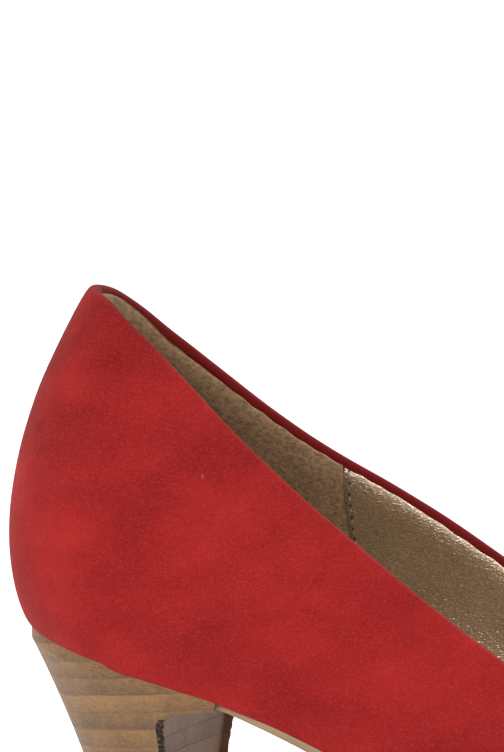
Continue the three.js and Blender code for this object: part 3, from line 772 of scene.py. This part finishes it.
@dataclass(frozen=True)
class Thread(Finish):
    """Waxed sewing thread, twisted from plies."""

    base: Colour
    shadow: Colour
    roughness: float = 0.5

    def shade(self, g: Surface) -> None:
        """Twists the plies round the thread.

        Args:
            g: the material's surface.
        """
        turned = g.stretched(g.at, (1, 1, 1), (0, 35, 20))
        ply = g.add("TexWave", {"Vector": turned, "Scale": 1100.0, "Distortion": 0.5}).outputs["Fac"]
        g.join(Base_Color=g.mix(ply, self.shadow, self.base),
               Roughness=g.remap(ply, 0.0, 1.0, self.roughness + 0.2, self.roughness),
               Normal=g.bump(ply, 0.00006, 0.8))
        g.join(Sheen_Weight=0.15)


STEELS: tuple[tuple[str, str, Colour, Colour], ...] = (
    ("steel_shank", "spring_steel", (0.36, 0.37, 0.40), (0.16, 0.13, 0.12)),
    ("shank_rivet_rear", "rivet_steel", (0.55, 0.54, 0.52), (0.28, 0.25, 0.22)),
    ("shank_rivet_front", "rivet_steel", (0.55, 0.54, 0.52), (0.28, 0.25, 0.22)),
    ("heel_tube", "tube_steel", (0.50, 0.50, 0.50), (0.25, 0.22, 0.2)),
    ("top_lift_pin", "pin_steel", (0.60, 0.60, 0.60), (0.33, 0.3, 0.28)),
    ("heel_screw", "screw_steel", (0.52, 0.50, 0.42), (0.28, 0.24, 0.16)),
    *((f"heel_nail_{n}", "nail_steel", (0.5, 0.5, 0.52), (0.24, 0.22, 0.2)) for n in range(1, 5)),
)


class Palette:
    """Every finish on the shoe."""

    # The upper's turned colour and its darkening towards the top are painted shade: inside the fold over the
    # top edge, and where the light falls off near the top.
    upper = Suede("red_suede", "upper_suede", dark=(0.155, 0.0032, 0.0030), light=(0.400, 0.0160, 0.0150),
                  fleck=(0.60, 0.16, 0.14), patch=88.0, patches=0.6, nap=4200.0, top_shade=0.25,
                  clumps=0.07, turned=(0.095, 0.0035, 0.0035), sheen=0.05)
    grip = Suede("taupe_suede", "grip_suede", dark=(0.085, 0.046, 0.022), light=(0.40, 0.245, 0.132),
                 fleck=(0.36, 0.29, 0.2), patch=300.0, patches=0.25, nap=3700.0, clumps=0.6, flecks=0.1,
                 depth=0.0009, sheen=0.1, sheen_tint=(1.0, 0.9, 0.75))
    lining = FoilLeather("bronze_leather", "lining_leather", deep=(0.24, 0.158, 0.092),
                         foil=(0.72, 0.55, 0.38), crest=(0.90, 0.84, 0.76), metallic=0.9, roughness=0.27,
                         grain=3400.0, stretch=2.0)
    sock = FoilLeather("sock_leather", "sock_leather", deep=(0.36, 0.28, 0.19), foil=(0.66, 0.56, 0.44),
                       crest=(0.72, 0.64, 0.53), metallic=0.35, roughness=0.5, grain=1600.0, stretch=1.2)
    side = StackedLeather("stacked_side", "heel_veneer", dark=(0.110, 0.062, 0.033),
                          light=(0.338, 0.174, 0.059), line=(0.130, 0.072, 0.038), tilt=0.095, roughness=0.52)
    rim = RawEdge("raw_rim", "heel_veneer", dark=(0.022, 0.010, 0.006), light=(0.28, 0.16, 0.07))
    breast = StackedLeather("stacked_breast", "breast_veneer", dark=(0.118, 0.060, 0.035),
                            light=(0.240, 0.128, 0.071), line=(0.085, 0.048, 0.034), offset=0.0015,
                            shading=0.15, roughness=0.55)
    sole = SoleLeather("waxed_sole", "sole_leather", base=(0.33, 0.205, 0.105), dark=(0.17, 0.095, 0.05),
                       scuffed=(0.42, 0.34, 0.25), tread_from=0.036, tread_to=0.058)
    lift = Rubber("lift_rubber", "lift_rubber", base=(0.075, 0.045, 0.028), worn=(0.16, 0.12, 0.09))
    thread = Thread("bronze_thread", "lining_leather", base=(0.42, 0.33, 0.235), shadow=(0.12, 0.07, 0.04))
    # Painted shadow: a dark dimple stands in for the shade inside each needle hole.
    hole = Thread("needle_hole_shadow", "lining_leather", base=(0.035, 0.018, 0.012), shadow=(0.012, 0.006, 0.004),
                  roughness=0.75)
    foam = Board("latex_foam", "latex_foam", base=(0.70, 0.62, 0.45), dark=(0.50, 0.42, 0.28), scale=1900.0)
    hidden: dict[str, Finish] = {
        "topline_tape": Cloth("tape_cloth", "white_textile", base=(0.72, 0.70, 0.65),
                              shadow=(0.38, 0.36, 0.32)),
        "toe_puff": Cloth("puff_cloth", "puff_textile", base=(0.60, 0.56, 0.47), shadow=(0.30, 0.27, 0.21),
                          threads=1200.0),
        "heel_counter": Board("counter_board", "counter_board", base=(0.36, 0.24, 0.14),
                              dark=(0.20, 0.12, 0.07)),
        "insole_board": Board("insole_board", "insole_fibreboard", base=(0.45, 0.36, 0.25),
                              dark=(0.25, 0.19, 0.12)),
        "shank_board": Board("shank_board", "shank_fibreboard", base=(0.22, 0.16, 0.11),
                             dark=(0.12, 0.08, 0.05)),
        "bottom_filler": Board("filler_cork", "filler_cork", base=(0.46, 0.29, 0.15), dark=(0.16, 0.08, 0.04),
                               scale=520.0, depth=0.0003),
        "heel_block": Plastic("heel_plastic", "heel_plastic", base=(0.28, 0.19, 0.12),
                              dark=(0.2, 0.13, 0.08)),
        **{node: Steel(name, name, base=base, stain=stain) for node, name, base, stain in STEELS},
    }


# ---------------------------------------------------------------- modelling
def only(obj: Object) -> Object:
    """Selects one object and nothing else.

    Args:
        obj: the object.

    Returns:
        The same object, now active.
    """
    for other in bpy.context.selected_objects:
        other.select_set(False)
    obj.select_set(True)
    bpy.context.view_layer.objects.active = obj
    return obj


def edit(obj: Object, select: str = "SELECT") -> None:
    """Opens an object in edit mode, with all of it or none of it selected.

    Args:
        obj: the object.
        select: SELECT or DESELECT.
    """
    only(obj)
    bpy.ops.object.mode_set(mode="EDIT")
    bpy.ops.mesh.select_all(action=select)


def object_mode() -> None:
    """Closes edit mode."""
    bpy.ops.object.mode_set(mode="OBJECT")


def modify(obj: Object, kind: str, **settings: Any) -> None:
    """Adds a modifier and applies it.

    Args:
        obj: the object.
        kind: the modifier's type.
        settings: its properties.
    """
    only(obj)
    modifier = obj.modifiers.new(kind.lower(), kind)
    for key, value in settings.items():
        setattr(modifier, key, value)
    bpy.ops.object.modifier_apply(modifier=modifier.name)


def smooth(obj: Object, degrees: float) -> None:
    """Shades an object smooth except over edges sharper than an angle."""
    only(obj)
    bpy.ops.object.shade_smooth_by_angle(angle=math.radians(degrees))


def finish_piece(obj: Object, finish: Finish, *nodes: str) -> Object:
    """Gives a piece its material and body, and hides the CAD nodes it stands for.

    Args:
        obj: the piece.
        finish: its finish.
        nodes: the CAD nodes that it replaces.

    Returns:
        The piece.
    """
    indices = [face.material_index for face in obj.data.polygons]
    obj.data.materials.clear()
    obj.data.materials.append(finish.material())
    obj.data.polygons.foreach_set("material_index", indices)
    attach(obj, BODY)
    if nodes:
        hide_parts(*nodes)
    LOG.info("%s: %d faces, finish %s", obj.name, len(obj.data.polygons), finish.name)
    return obj


def add_object(name: str, data: bpy.types.ID) -> Object:
    """Adds an object to the scene.

    Args:
        name: its name.
        data: its mesh, light or camera.

    Returns:
        The object.
    """
    obj = bpy.data.objects.new(name, data)
    bpy.context.scene.collection.objects.link(obj)
    return obj


def shortest_edge(mesh: bpy.types.Mesh, face: bpy.types.MeshPolygon) -> float:
    """The length of a face's shortest side."""
    corners = [mesh.vertices[v].co for v in face.vertices]
    return min((a - b).length for a, b in zip(corners, corners[1:] + corners[:1]))


def thin_faces(mesh: bpy.types.Mesh, facing: Vector, least: float) -> list[bpy.types.MeshPolygon]:
    """The narrow faces that look one way, which are the edge of a thin sheet."""
    return [p for p in mesh.polygons if p.normal.dot(facing) > least and shortest_edge(mesh, p) < THIN]


def inwards(vertex: bpy.types.MeshVertex) -> Vector:
    """The level direction from a vertex towards the middle of the foot's space."""
    middle = Vector((min(max(vertex.co.x, AXIS_FROM), AXIS_TO), 0.0, vertex.co.z))
    return (middle - vertex.co).normalized()


@dataclass(frozen=True)
class TopEdge:
    """The upper edge of a lining, which rises under the rolled suede and is pared away towards it."""

    rise: float = 0.95 * MM
    pare: float = 0.6 * MM
    depth: float = 2.4 * MM
    facing_up: float = 0.3
    longest: float = 12 * MM
    steps: int = 6
    full_pare: float = 1.6

    def find(self, obj: Object) -> KDTree:
        """Finds the narrow faces along the top.

        Args:
            obj: the lining before it is subdivided.

        Returns:
            Points along the top edge.
        """
        mesh = obj.data
        points: list[Vector] = []
        for face in thin_faces(mesh, UP, self.facing_up):
            corners = [mesh.vertices[v].co for v in face.vertices]
            if len(corners) != 4 or (corners[0] - corners[2]).length > self.longest:
                continue
            sides = sorted(zip(corners, corners[1:] + corners[:1]), key=lambda s: (s[0] - s[1]).length)
            points += [a.lerp(b, n / self.steps) for a, b in sides[2:] for n in range(self.steps + 1)]
        tree = KDTree(len(points))
        for n, point in enumerate(points):
            tree.insert(point, n)
        tree.balance()
        return tree

    def shape(self, obj: Object, top: KDTree) -> None:
        """Raises the edge and pares its inner face.

        Args:
            obj: the subdivided lining.
            top: points along the top edge.
        """
        moves: list[tuple[int, Vector]] = []
        for vertex in obj.data.vertices:
            distance = top.find(vertex.co)[2]
            if distance is None or distance > self.depth:
                continue
            share = 1.0 - distance / self.depth
            towards = inwards(vertex)
            facing = max(0.0, vertex.normal.dot(towards))
            pared = -towards * self.pare * share ** 2 * min(1.0, facing * self.full_pare)
            moves.append((vertex.index, pared + Vector((0, 0, self.rise * share))))
        for index, move in moves:
            obj.data.vertices[index].co += move


@dataclass(frozen=True)
class Skin:
    """A smooth piece with the shape of one CAD node."""

    node: str
    name: str
    finish: Finish
    crease_angle: float = 50.0
    crease: float = 0.6
    levels: int = 2
    sway: float = 0.0
    sway_size: float = 0.012
    top_edge: TopEdge | None = None
    reach: float = 0.0
    facing_front: float = 0.7
    round_angle: float = 60.0
    flat_angle: float = 35.0

    def build(self) -> Object:
        """Copies the node's shape, joins its triangles, and rounds it with a subdivision surface.

        Returns:
            The finished piece.
        """
        obj = self.copy()
        self.round_off(obj)
        return finish_piece(obj, self.finish, self.node)

    def copy(self) -> Object:
        """Copies the node's shape and joins its triangles to quads.

        Returns:
            The new object.
        """
        obj = add_object(self.name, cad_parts[self.node].data.copy())
        edit(obj)
        bpy.ops.mesh.remove_doubles(threshold=0.00001)
        bpy.ops.mesh.tris_convert_to_quads(face_threshold=math.radians(60), shape_threshold=math.radians(100))
        object_mode()
        return obj

    def round_off(self, obj: Object) -> None:
        """Closes the piece up to its neighbour, creases its corners, subdivides it and shapes its top edge.

        Args:
            obj: the copied piece.
        """
        if self.reach:
            for v in {v for p in thin_faces(obj.data, AHEAD, self.facing_front) for v in p.vertices}:
                obj.data.vertices[v].co.x += self.reach
        rims = self.top_edge.find(obj) if self.top_edge else None
        edit(obj)
        if self.crease:
            bpy.ops.mesh.select_all(action="DESELECT")
            bpy.ops.mesh.select_mode(type="EDGE")
            bpy.ops.mesh.edges_select_sharp(sharpness=math.radians(self.crease_angle))
            bpy.ops.transform.edge_crease(value=self.crease)
        object_mode()
        if self.levels:
            modify(obj, "SUBSURF", levels=self.levels, render_levels=self.levels)
        if self.sway:
            cloud = bpy.data.textures.new(self.name + "_sway", "CLOUDS")
            cloud.noise_scale = self.sway_size
            cloud.noise_depth = 1
            modify(obj, "DISPLACE", texture=cloud, texture_coords="LOCAL", strength=self.sway, mid_level=0.5)
        if rims is not None:
            self.top_edge.shape(obj, rims)
        smooth(obj, self.round_angle if self.levels else self.flat_angle)


@dataclass
class Upper:
    """The suede upper: one skin with a rolled top edge, a little uneven as suede over a stiffener is."""

    sway: float = 0.22 * MM
    seam_gap: float = 0.3 * MM
    seam_left: float = 0.01 * MM
    seam_search: float = 40 * MM
    turn_from: float = -0.15
    turn_span: float = 0.5

    def build(self) -> None:
        """Builds the suede."""
        skin = Skin("upper", "suede_upper", Palette.upper, crease_angle=62.0, crease=0.95, sway=self.sway)
        suede = skin.copy()
        self.close_back_seam(suede)
        skin.round_off(suede)
        finish_piece(suede, skin.finish, skin.node)
        self.mark_turned_edge(suede)

    def close_back_seam(self, suede: Object) -> None:
        """Draws the two edges of the back seam together.

        Args:
            suede: the copied upper.
        """
        middle = sum(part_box("heel_wrap"), Vector()).y / 2
        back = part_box("upper")[0].x + self.seam_search
        for vertex in suede.data.vertices:
            off = vertex.co.y - middle
            if vertex.co.x < back and abs(off) < self.seam_gap:
                vertex.co.y = middle + math.copysign(self.seam_left, off)

    def mark_turned_edge(self, suede: Object) -> None:
        """Marks the faces that are turned in over the top edge, where the suede is painted darker as the
        shade inside the fold.

        Args:
            suede: the finished skin.
        """
        marks = []
        for vertex in suede.data.vertices:
            facing = vertex.normal.dot(inwards(vertex))
            marks.append(min(1.0, max(0.0, (facing - self.turn_from) / self.turn_span)))
        suede.data.attributes.new(PAINTED_FOLD_SHADE, "FLOAT", "POINT").data.foreach_set("value", marks)


@dataclass
class SeamRow:
    """A row of stitches up the lining, beside the cut edge where two linings meet."""

    name: str
    lining: str
    side: int
    seam_from: float
    seam_to: float
    top: float
    bottom: float
    inset: float = 0.85 * MM
    pitch: float = 1.9 * MM
    length: float = 1.25 * MM
    radius: float = 0.2 * MM
    dip: float = 0.9
    hole_size: float = 1.25
    hole_shape: tuple[float, float, float] = (0.3, 1.0, 1.15)
    step: float = 0.25 * MM
    search_steps: int = 160
    fewest: int = 3
    round_angle: float = 80.0

    def build(self) -> list[Object]:
        """Finds the edge, lays the row beside it and copies the stitch and a dark dimple, the painted shadow
        in a needle hole, along it.

        Returns:
            The row's thread and the dark dimples painted as the shadow in its needle holes.
        """
        places = self.places()
        if len(places) < self.fewest:
            LOG.warning("%s: no room for a row", self.name)
            return []
        stitch = self.row(self.stitch(), places, 0.5, self.name + "_thread")
        # The needle holes are dark dimples, painted as the shade inside them.
        holes = self.row(self.needle_hole_shadow(), places, 0.0, self.name + "_holes")
        return [finish_piece(stitch, Palette.thread), finish_piece(holes, Palette.hole)]

    def places(self) -> Row:
        """Points and outward normals along the row, a pitch apart, from the top down.

        Returns:
            One point and normal for each needle hole.
        """
        mesh = bpy.data.objects[self.lining]
        tree = BVHTree.FromObject(mesh, bpy.context.evaluated_depsgraph_get())
        fine: Row = []
        height = self.top
        while height > self.bottom:
            edge = self.edge(tree, height)
            if edge is not None:
                point, normal = self.look(tree, edge + self.inset, height)
                if point is not None:
                    fine.append((point, normal if normal.y * self.side < 0 else -normal))
            height -= self.step
        return self.spaced(fine)

    def look(self, tree: BVHTree, x: float, height: float) -> tuple[Vector | None, Vector | None]:
        """Looks from the middle of the shoe straight to the row's side."""
        return tree.ray_cast(Vector((x, 0.0, height)), Vector((0.0, self.side, 0.0)))[:2]

    def edge(self, tree: BVHTree, height: float) -> float | None:
        """Where the lining's cut edge is at one height.

        Args:
            tree: the lining's faces.
            height: the height.

        Returns:
            The place along the shoe, or None where the lining doesn't reach.
        """
        for n in range(self.search_steps):
            x = self.seam_from + (self.seam_to - self.seam_from) * n / self.search_steps
            if self.look(tree, x, height)[0] is not None:
                return x
        return None

    def spaced(self, fine: Row) -> Row:
        """Keeps one point for each pitch along a finely stepped row.

        Args:
            fine: points and normals close together.

        Returns:
            Points and normals a pitch apart.
        """
        kept: Row = []
        gone = self.pitch
        for n, (point, normal) in enumerate(fine):
            if n:
                step = (point - fine[n - 1][0]).length
                if step > self.pitch:
                    gone = self.pitch
                    continue
                gone += step
            if gone >= self.pitch:
                kept.append((point, normal))
                gone = 0.0
        return kept

    @staticmethod
    def bead(radius: float, rings: int, shape: Sequence[float]) -> Object:
        """Adds a small sphere, stretched or pressed along its axes.

        Args:
            radius: its radius before that.
            rings: its rings of faces.
            shape: the scale along each axis.

        Returns:
            The new object.
        """
        bpy.ops.object.select_all(action="DESELECT")
        bpy.ops.mesh.primitive_uv_sphere_add(segments=8, ring_count=rings, radius=radius)
        obj = bpy.context.object
        edit(obj)
        bpy.ops.transform.resize(value=shape)
        object_mode()
        return obj

    def stitch(self) -> Object:
        """Makes a short plump length of thread that dips in at both ends.

        Returns:
            The stitch.
        """
        obj = self.bead(self.radius, 6, (1.0, 1.0, self.length / (2 * self.radius)))
        for vertex in obj.data.vertices:
            vertex.co.x -= self.dip * self.radius * (2 * vertex.co.z / self.length) ** 2
        return obj

    def needle_hole_shadow(self) -> Object:
        """The painted shadow in one needle hole: a shallow dark dimple."""
        return self.bead(self.hole_size * self.radius, 5, self.hole_shape)

    def row(self, model: Object, places: Row, shift: float, name: str) -> Object:
        """Copies a model along the row and joins the copies.

        Args:
            model: what is copied; its X points off the leather and its Z along the row.
            places: the needle holes.
            shift: how far along the way to the next hole each copy stands, from 0 to 1.
            name: the joined piece's name.

        Returns:
            The joined piece.
        """
        copies = []
        for (here, normal), (there, _) in zip(places, places[1:]):
            along = (there - here).normalized()
            out = (normal - along * normal.dot(along)).normalized()
            across = along.cross(out)
            turn = Matrix((out, across, along)).transposed().to_4x4()
            copy = model.copy()
            copy.data = model.data.copy()
            copy.data.transform(Matrix.Translation(here.lerp(there, shift)) @ turn)
            bpy.context.scene.collection.objects.link(copy)
            copies.append(copy)
        bpy.data.objects.remove(model)
        only(copies[0])
        for copy in copies:
            copy.select_set(True)
        bpy.ops.object.join()
        joined = bpy.context.object
        joined.name = name
        smooth(joined, self.round_angle)
        return joined


@dataclass
class Lining:
    """The suede heel grip, the three bronze linings, the sock and the rows of stitches between them."""

    leather_crease: float = 0.75
    seam_search: float = 30 * MM
    seam_margin: float = 1 * MM
    grip_reach: float = 0.22 * MM
    sock_reach: float = 0.5 * MM
    sock_wall: float = 0.35
    top_edge: TopEdge = TopEdge()

    def build(self) -> None:
        """Builds the linings, then sews them."""
        Skin("heel_grip", "suede_grip", Palette.grip, crease=self.leather_crease, top_edge=self.top_edge,
             reach=self.grip_reach).build()
        for node in ("quarter_lining_outer", "quarter_lining_inner", "vamp_lining"):
            Skin(node, "bronze_" + node, Palette.lining, crease=self.leather_crease,
                 top_edge=self.top_edge).build()
        self.sock()
        self.sew()

    def sock(self) -> None:
        """Lays the sock, its edge turned a little up the wall all round."""
        skin = Skin("sock_lining", "leather_sock", Palette.sock, crease=self.leather_crease)
        sock = skin.copy()
        for vertex in sock.data.vertices:
            across = Vector((0.0, vertex.normal.y, 0.0))
            if across.length > self.sock_wall:
                vertex.co += across.normalized() * self.sock_reach
        skin.round_off(sock)
        finish_piece(sock, skin.finish, skin.node)

    def sew(self) -> None:
        """Sews a row beside the grip on each side, and beside the vamp lining."""
        vamp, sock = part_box("vamp_lining"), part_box("sock_lining")
        for side, way in ((-1, "outer"), (1, "inner")):
            low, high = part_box("quarter_lining_" + way)
            for row, lining, edge, top, bottom in (("grip", "quarter_lining_" + way, low.x, high.z, low.z),
                                                   ("vamp", "vamp_lining", vamp[0].x, vamp[1].z, sock[0].z)):
                SeamRow(f"{row}_seam_{way}", "bronze_" + lining, side, edge - self.seam_margin,
                        edge + self.seam_search, top, bottom).build()


@dataclass
class Cushions:
    """The foam pads under the sock, crowned and thin at their rims."""

    def build(self) -> None:
        """Builds both pads."""
        for node, name in (("heel_cushion", "foam_heel_pad"), ("ball_cushion", "foam_ball_pad")):
            pad = Skin(node, name, Palette.foam, crease=0.15, levels=3).build()


@dataclass
class Bottom:
    """The outsole, its burnished edge a little rounded."""

    edge_crease: float = 0.9
    closer: float = 0.8 * MM
    facing_up: float = 0.1

    def build(self) -> None:
        """Builds the sole, pressed up to the upper."""
        skin = Skin("outsole", "leather_outsole", Palette.sole, crease_angle=30.0, crease=self.edge_crease)
        sole = skin.copy()
        for vertex in sole.data.vertices:
            if vertex.normal.z > self.facing_up:
                vertex.co.z += self.closer
        skin.round_off(sole)
        finish_piece(sole, Palette.sole, "outsole")


class WrapFace(IntEnum):
    """The material slots of the heel's side wrap."""

    SIDE = 0
    RIM = 1
    INSIDE = 2


@dataclass
class Heel:
    """The stacked heel: side wrap with a raw front rim cut at a slant, hollow breast and rubber lift."""

    slant: float = 1.0 * MM
    forward: float = 0.5 * MM
    arc: float = 3.0 * MM
    top_rise: float = 1.3 * MM
    facing_up: float = 0.6
    facing_front: float = 0.75
    facing_side: float = 0.05
    crumb_size: float = 0.5 * MM
    crumb_grain: float = 0.8 * MM
    crumb_cuts: int = 3
    crumb_angle: float = 40.0

    def build(self) -> None:
        """Builds the wrap, the breast and the lift."""
        self.wrap()
        Skin("heel_breast_cover", "stacked_breast", Palette.breast, crease=0.0, levels=0).build()
        Skin("top_lift", "rubber_lift", Palette.lift, crease_angle=40.0, crease=0.85).build()

    def wrap(self) -> None:
        """Builds the side wrap, which has a raw rim and the breast's finish on its inner faces."""
        skin = Skin("heel_wrap", "stacked_wrap", Palette.side, crease_angle=25.0, crease=0.95)
        wrap = skin.copy()
        self.shape(wrap.data)
        # Empty slots, so that the indices of the rim and of the inside last until the materials are known.
        for _ in (WrapFace.RIM, WrapFace.INSIDE):
            wrap.data.materials.append(None)
        skin.round_off(wrap)
        self.crumble(wrap)
        finish_piece(wrap, Palette.side, "heel_wrap")
        for inner in (Palette.rim, Palette.breast):
            wrap.data.materials.append(inner.material())

    def shape(self, mesh: bpy.types.Mesh) -> None:
        """Slants the front rim back, marks rim and inside, and raises the top up to the sole.

        Args:
            mesh: the copied wrap.
        """
        middle = sum(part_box("heel_wrap"), Vector()).y / 2
        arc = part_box("heel_breast_cover")[1].z - self.arc
        points = mesh.vertices
        rim = [p for p in thin_faces(mesh, AHEAD, self.facing_front)
               if abs(p.normal.y) < self.facing_side and p.center.z < arc]
        outer: set[int] = set()
        for face in rim:
            face.material_index = WrapFace.RIM
            for a, b in face.edge_keys:
                if (points[a].co - points[b].co).length < THIN:
                    outer.add(max(a, b, key=lambda v: abs(points[v].co.y - middle)))
        for v in {v for face in rim for v in face.vertices}:
            points[v].co.x += self.forward - (self.slant if v in outer else 0.0)
        for face in mesh.polygons:
            if face.normal.y * (face.center.y - middle) < 0 and face.material_index == WrapFace.SIDE:
                face.material_index = WrapFace.INSIDE
        for v in {v for face in thin_faces(mesh, UP, self.facing_up) for v in face.vertices}:
            points[v].co.z += self.top_rise

    def crumble(self, wrap: Object) -> None:
        """Breaks up the raw rim with small crumbs.

        Args:
            wrap: the side wrap, rounded off.
        """
        edit(wrap, "DESELECT")
        object_mode()
        for face in wrap.data.polygons:
            face.select = face.material_index == WrapFace.RIM
        bpy.ops.object.mode_set(mode="EDIT")
        bpy.ops.mesh.select_mode(type="FACE")
        bpy.ops.mesh.subdivide(number_cuts=self.crumb_cuts)
        object_mode()
        rim = {v for p in wrap.data.polygons if p.material_index == WrapFace.RIM for v in p.vertices}
        wrap.vertex_groups.new(name="rim").add(sorted(rim), 1.0, "REPLACE")
        crumbs = bpy.data.textures.new("rim_crumbs", "CLOUDS")
        crumbs.noise_scale = self.crumb_grain
        modify(wrap, "DISPLACE", texture=crumbs, texture_coords="LOCAL", strength=self.crumb_size,
               mid_level=0.5, vertex_group="rim")
        wrap.vertex_groups.clear()
        smooth(wrap, self.crumb_angle)


class HiddenParts:
    """The CAD nodes inside the shoe, which keep their shape and get their finish."""

    def dress(self) -> None:
        """Gives each its material in its own slots."""
        for node, finish in Palette.hidden.items():
            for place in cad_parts[node].material_slots:
                place.material = finish.material()
            LOG.info("%s: finish %s", node, finish.name)


# ---------------------------------------------------------------- studio
def outwards(azimuth: float, elevation: float) -> Vector:
    """The direction from the shoe to a light or to the camera."""
    a, e = math.radians(azimuth), math.radians(elevation)
    return Vector((math.sin(a) * math.cos(e), -math.cos(a) * math.cos(e), math.sin(e)))


@dataclass(frozen=True)
class SoftLight:
    """One large soft light."""

    name: str
    azimuth: float
    elevation: float
    distance: float
    size: float
    power: float

    def build(self, target: Vector) -> None:
        """Hangs the light and points it at the shoe.

        Args:
            target: what it points at.
        """
        lamp = bpy.data.lights.new(self.name, "AREA")
        lamp.shape = "DISK"
        lamp.size = self.size
        lamp.energy = self.power
        obj = add_object(self.name, lamp)
        back = outwards(self.azimuth, self.elevation)
        obj.location = target + back * self.distance
        obj.rotation_euler = (-back).to_track_quat("-Z", "Y").to_euler()


@dataclass(frozen=True)
class SkyLight:
    """An even, very soft light from high up, the same over the whole floor."""

    azimuth: float = -25.0
    elevation: float = 58.0
    spread: float = 80.0
    strength: float = 1.5

    def build(self) -> None:
        """Hangs the light."""
        lamp = bpy.data.lights.new("sky_light", "SUN")
        lamp.energy = self.strength
        lamp.angle = math.radians(self.spread)
        back = outwards(self.azimuth, self.elevation)
        add_object("sky_light", lamp).rotation_euler = (-back).to_track_quat("-Z", "Y").to_euler()


@dataclass(frozen=True)
class Studio:
    """A white floor, soft white light and the camera."""

    azimuth: float = 16.0
    elevation: float = 6.0
    distance: float = 6.0
    view_height: float = 0.12675
    right_of_heel: float = 36.41 * MM
    above_heel: float = 41.6 * MM
    sensor: float = 24.0
    floor_size: float = 30.0
    floor_gap: float = 0.02 * MM
    paper: tuple[Colour, Colour] = ((0.97, 0.97, 0.97), (0.95, 0.95, 0.95))
    surround: float = 0.68
    sky: SkyLight = SkyLight()
    lights: tuple[SoftLight, ...] = (
        SoftLight("key_light", azimuth=-10, elevation=42, distance=1.6, size=1.3, power=4.5),
        SoftLight("side_light", azimuth=-58, elevation=25, distance=1.4, size=0.5, power=1.5),
        SoftLight("inner_light", azimuth=170, elevation=48, distance=1.5, size=0.9, power=12.0),
    )

    def build(self) -> None:
        """Builds the floor, the light and the camera."""
        self.floor()
        self.world()
        target = sum(CAD_BOUNDS, Vector()) / 2
        self.sky.build()
        for light in self.lights:
            light.build(target)
        self.camera()
        settings = bpy.context.scene.view_settings
        settings.view_transform = "Standard"
        settings.look = "None"

    def floor(self) -> None:
        """Lays a wide white floor that the shoe stands on."""
        bpy.ops.object.select_all(action="DESELECT")
        bpy.ops.mesh.primitive_plane_add(size=self.floor_size,
                                         location=(0, 0, CAD_BOUNDS[0].z - self.floor_gap))
        floor = bpy.context.object
        floor.name = "studio_floor"
        bpy.ops.object.transform_apply(location=True, rotation=True, scale=True)
        material = bpy.data.materials.new("white_floor")
        material.use_nodes = True
        g = Surface(material.node_tree)
        g.join(Base_Color=g.mix(g.noise(g.at, 300.0, 3.0, 0.6), *self.paper), Roughness=0.9,
               Specular_IOR_Level=0.1)
        floor.data.materials.append(material)

    def world(self) -> None:
        """Surrounds the shoe with even white light."""
        world = bpy.data.worlds.new("white_room")
        world.use_nodes = True
        graph = Graph(world.node_tree)
        light = graph.add("Background", {"Color": (1, 1, 1, 1), "Strength": self.surround})
        graph.add("OutputWorld", {"Surface": light.outputs[0]})
        bpy.context.scene.world = world

    def camera(self) -> None:
        """Stands the camera off the shoe's outer side, looking a little down at the back of it."""
        a = math.radians(self.azimuth)
        right = Vector((math.cos(a), math.sin(a), 0.0))
        back = outwards(self.azimuth, self.elevation)
        up = back.cross(right)
        low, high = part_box("heel_wrap")
        heel = Vector((low.x, (low.y + high.y) / 2, high.z))
        aim = heel + right * self.right_of_heel + up * self.above_heel
        lens = bpy.data.cameras.new("camera")
        lens.sensor_fit = "VERTICAL"
        lens.sensor_height = self.sensor
        lens.lens = self.sensor * self.distance / self.view_height
        lens.clip_start = 0.05
        lens.clip_end = 80.0
        camera = add_object("camera", lens)
        turn = Matrix((right, up, back)).transposed().to_4x4()
        camera.matrix_world = Matrix.Translation(aim + back * self.distance) @ turn
        bpy.context.scene.camera = camera


def main() -> None:
    """Builds the shoe from the inside out, then the studio."""
    logging.basicConfig(level=logging.INFO, format="%(name)s: %(message)s")
    HiddenParts().dress()
    for part in (Upper(), Lining(), Cushions(), Bottom(), Heel(), Studio()):
        part.build()


if __name__ == "__main__":
    main()
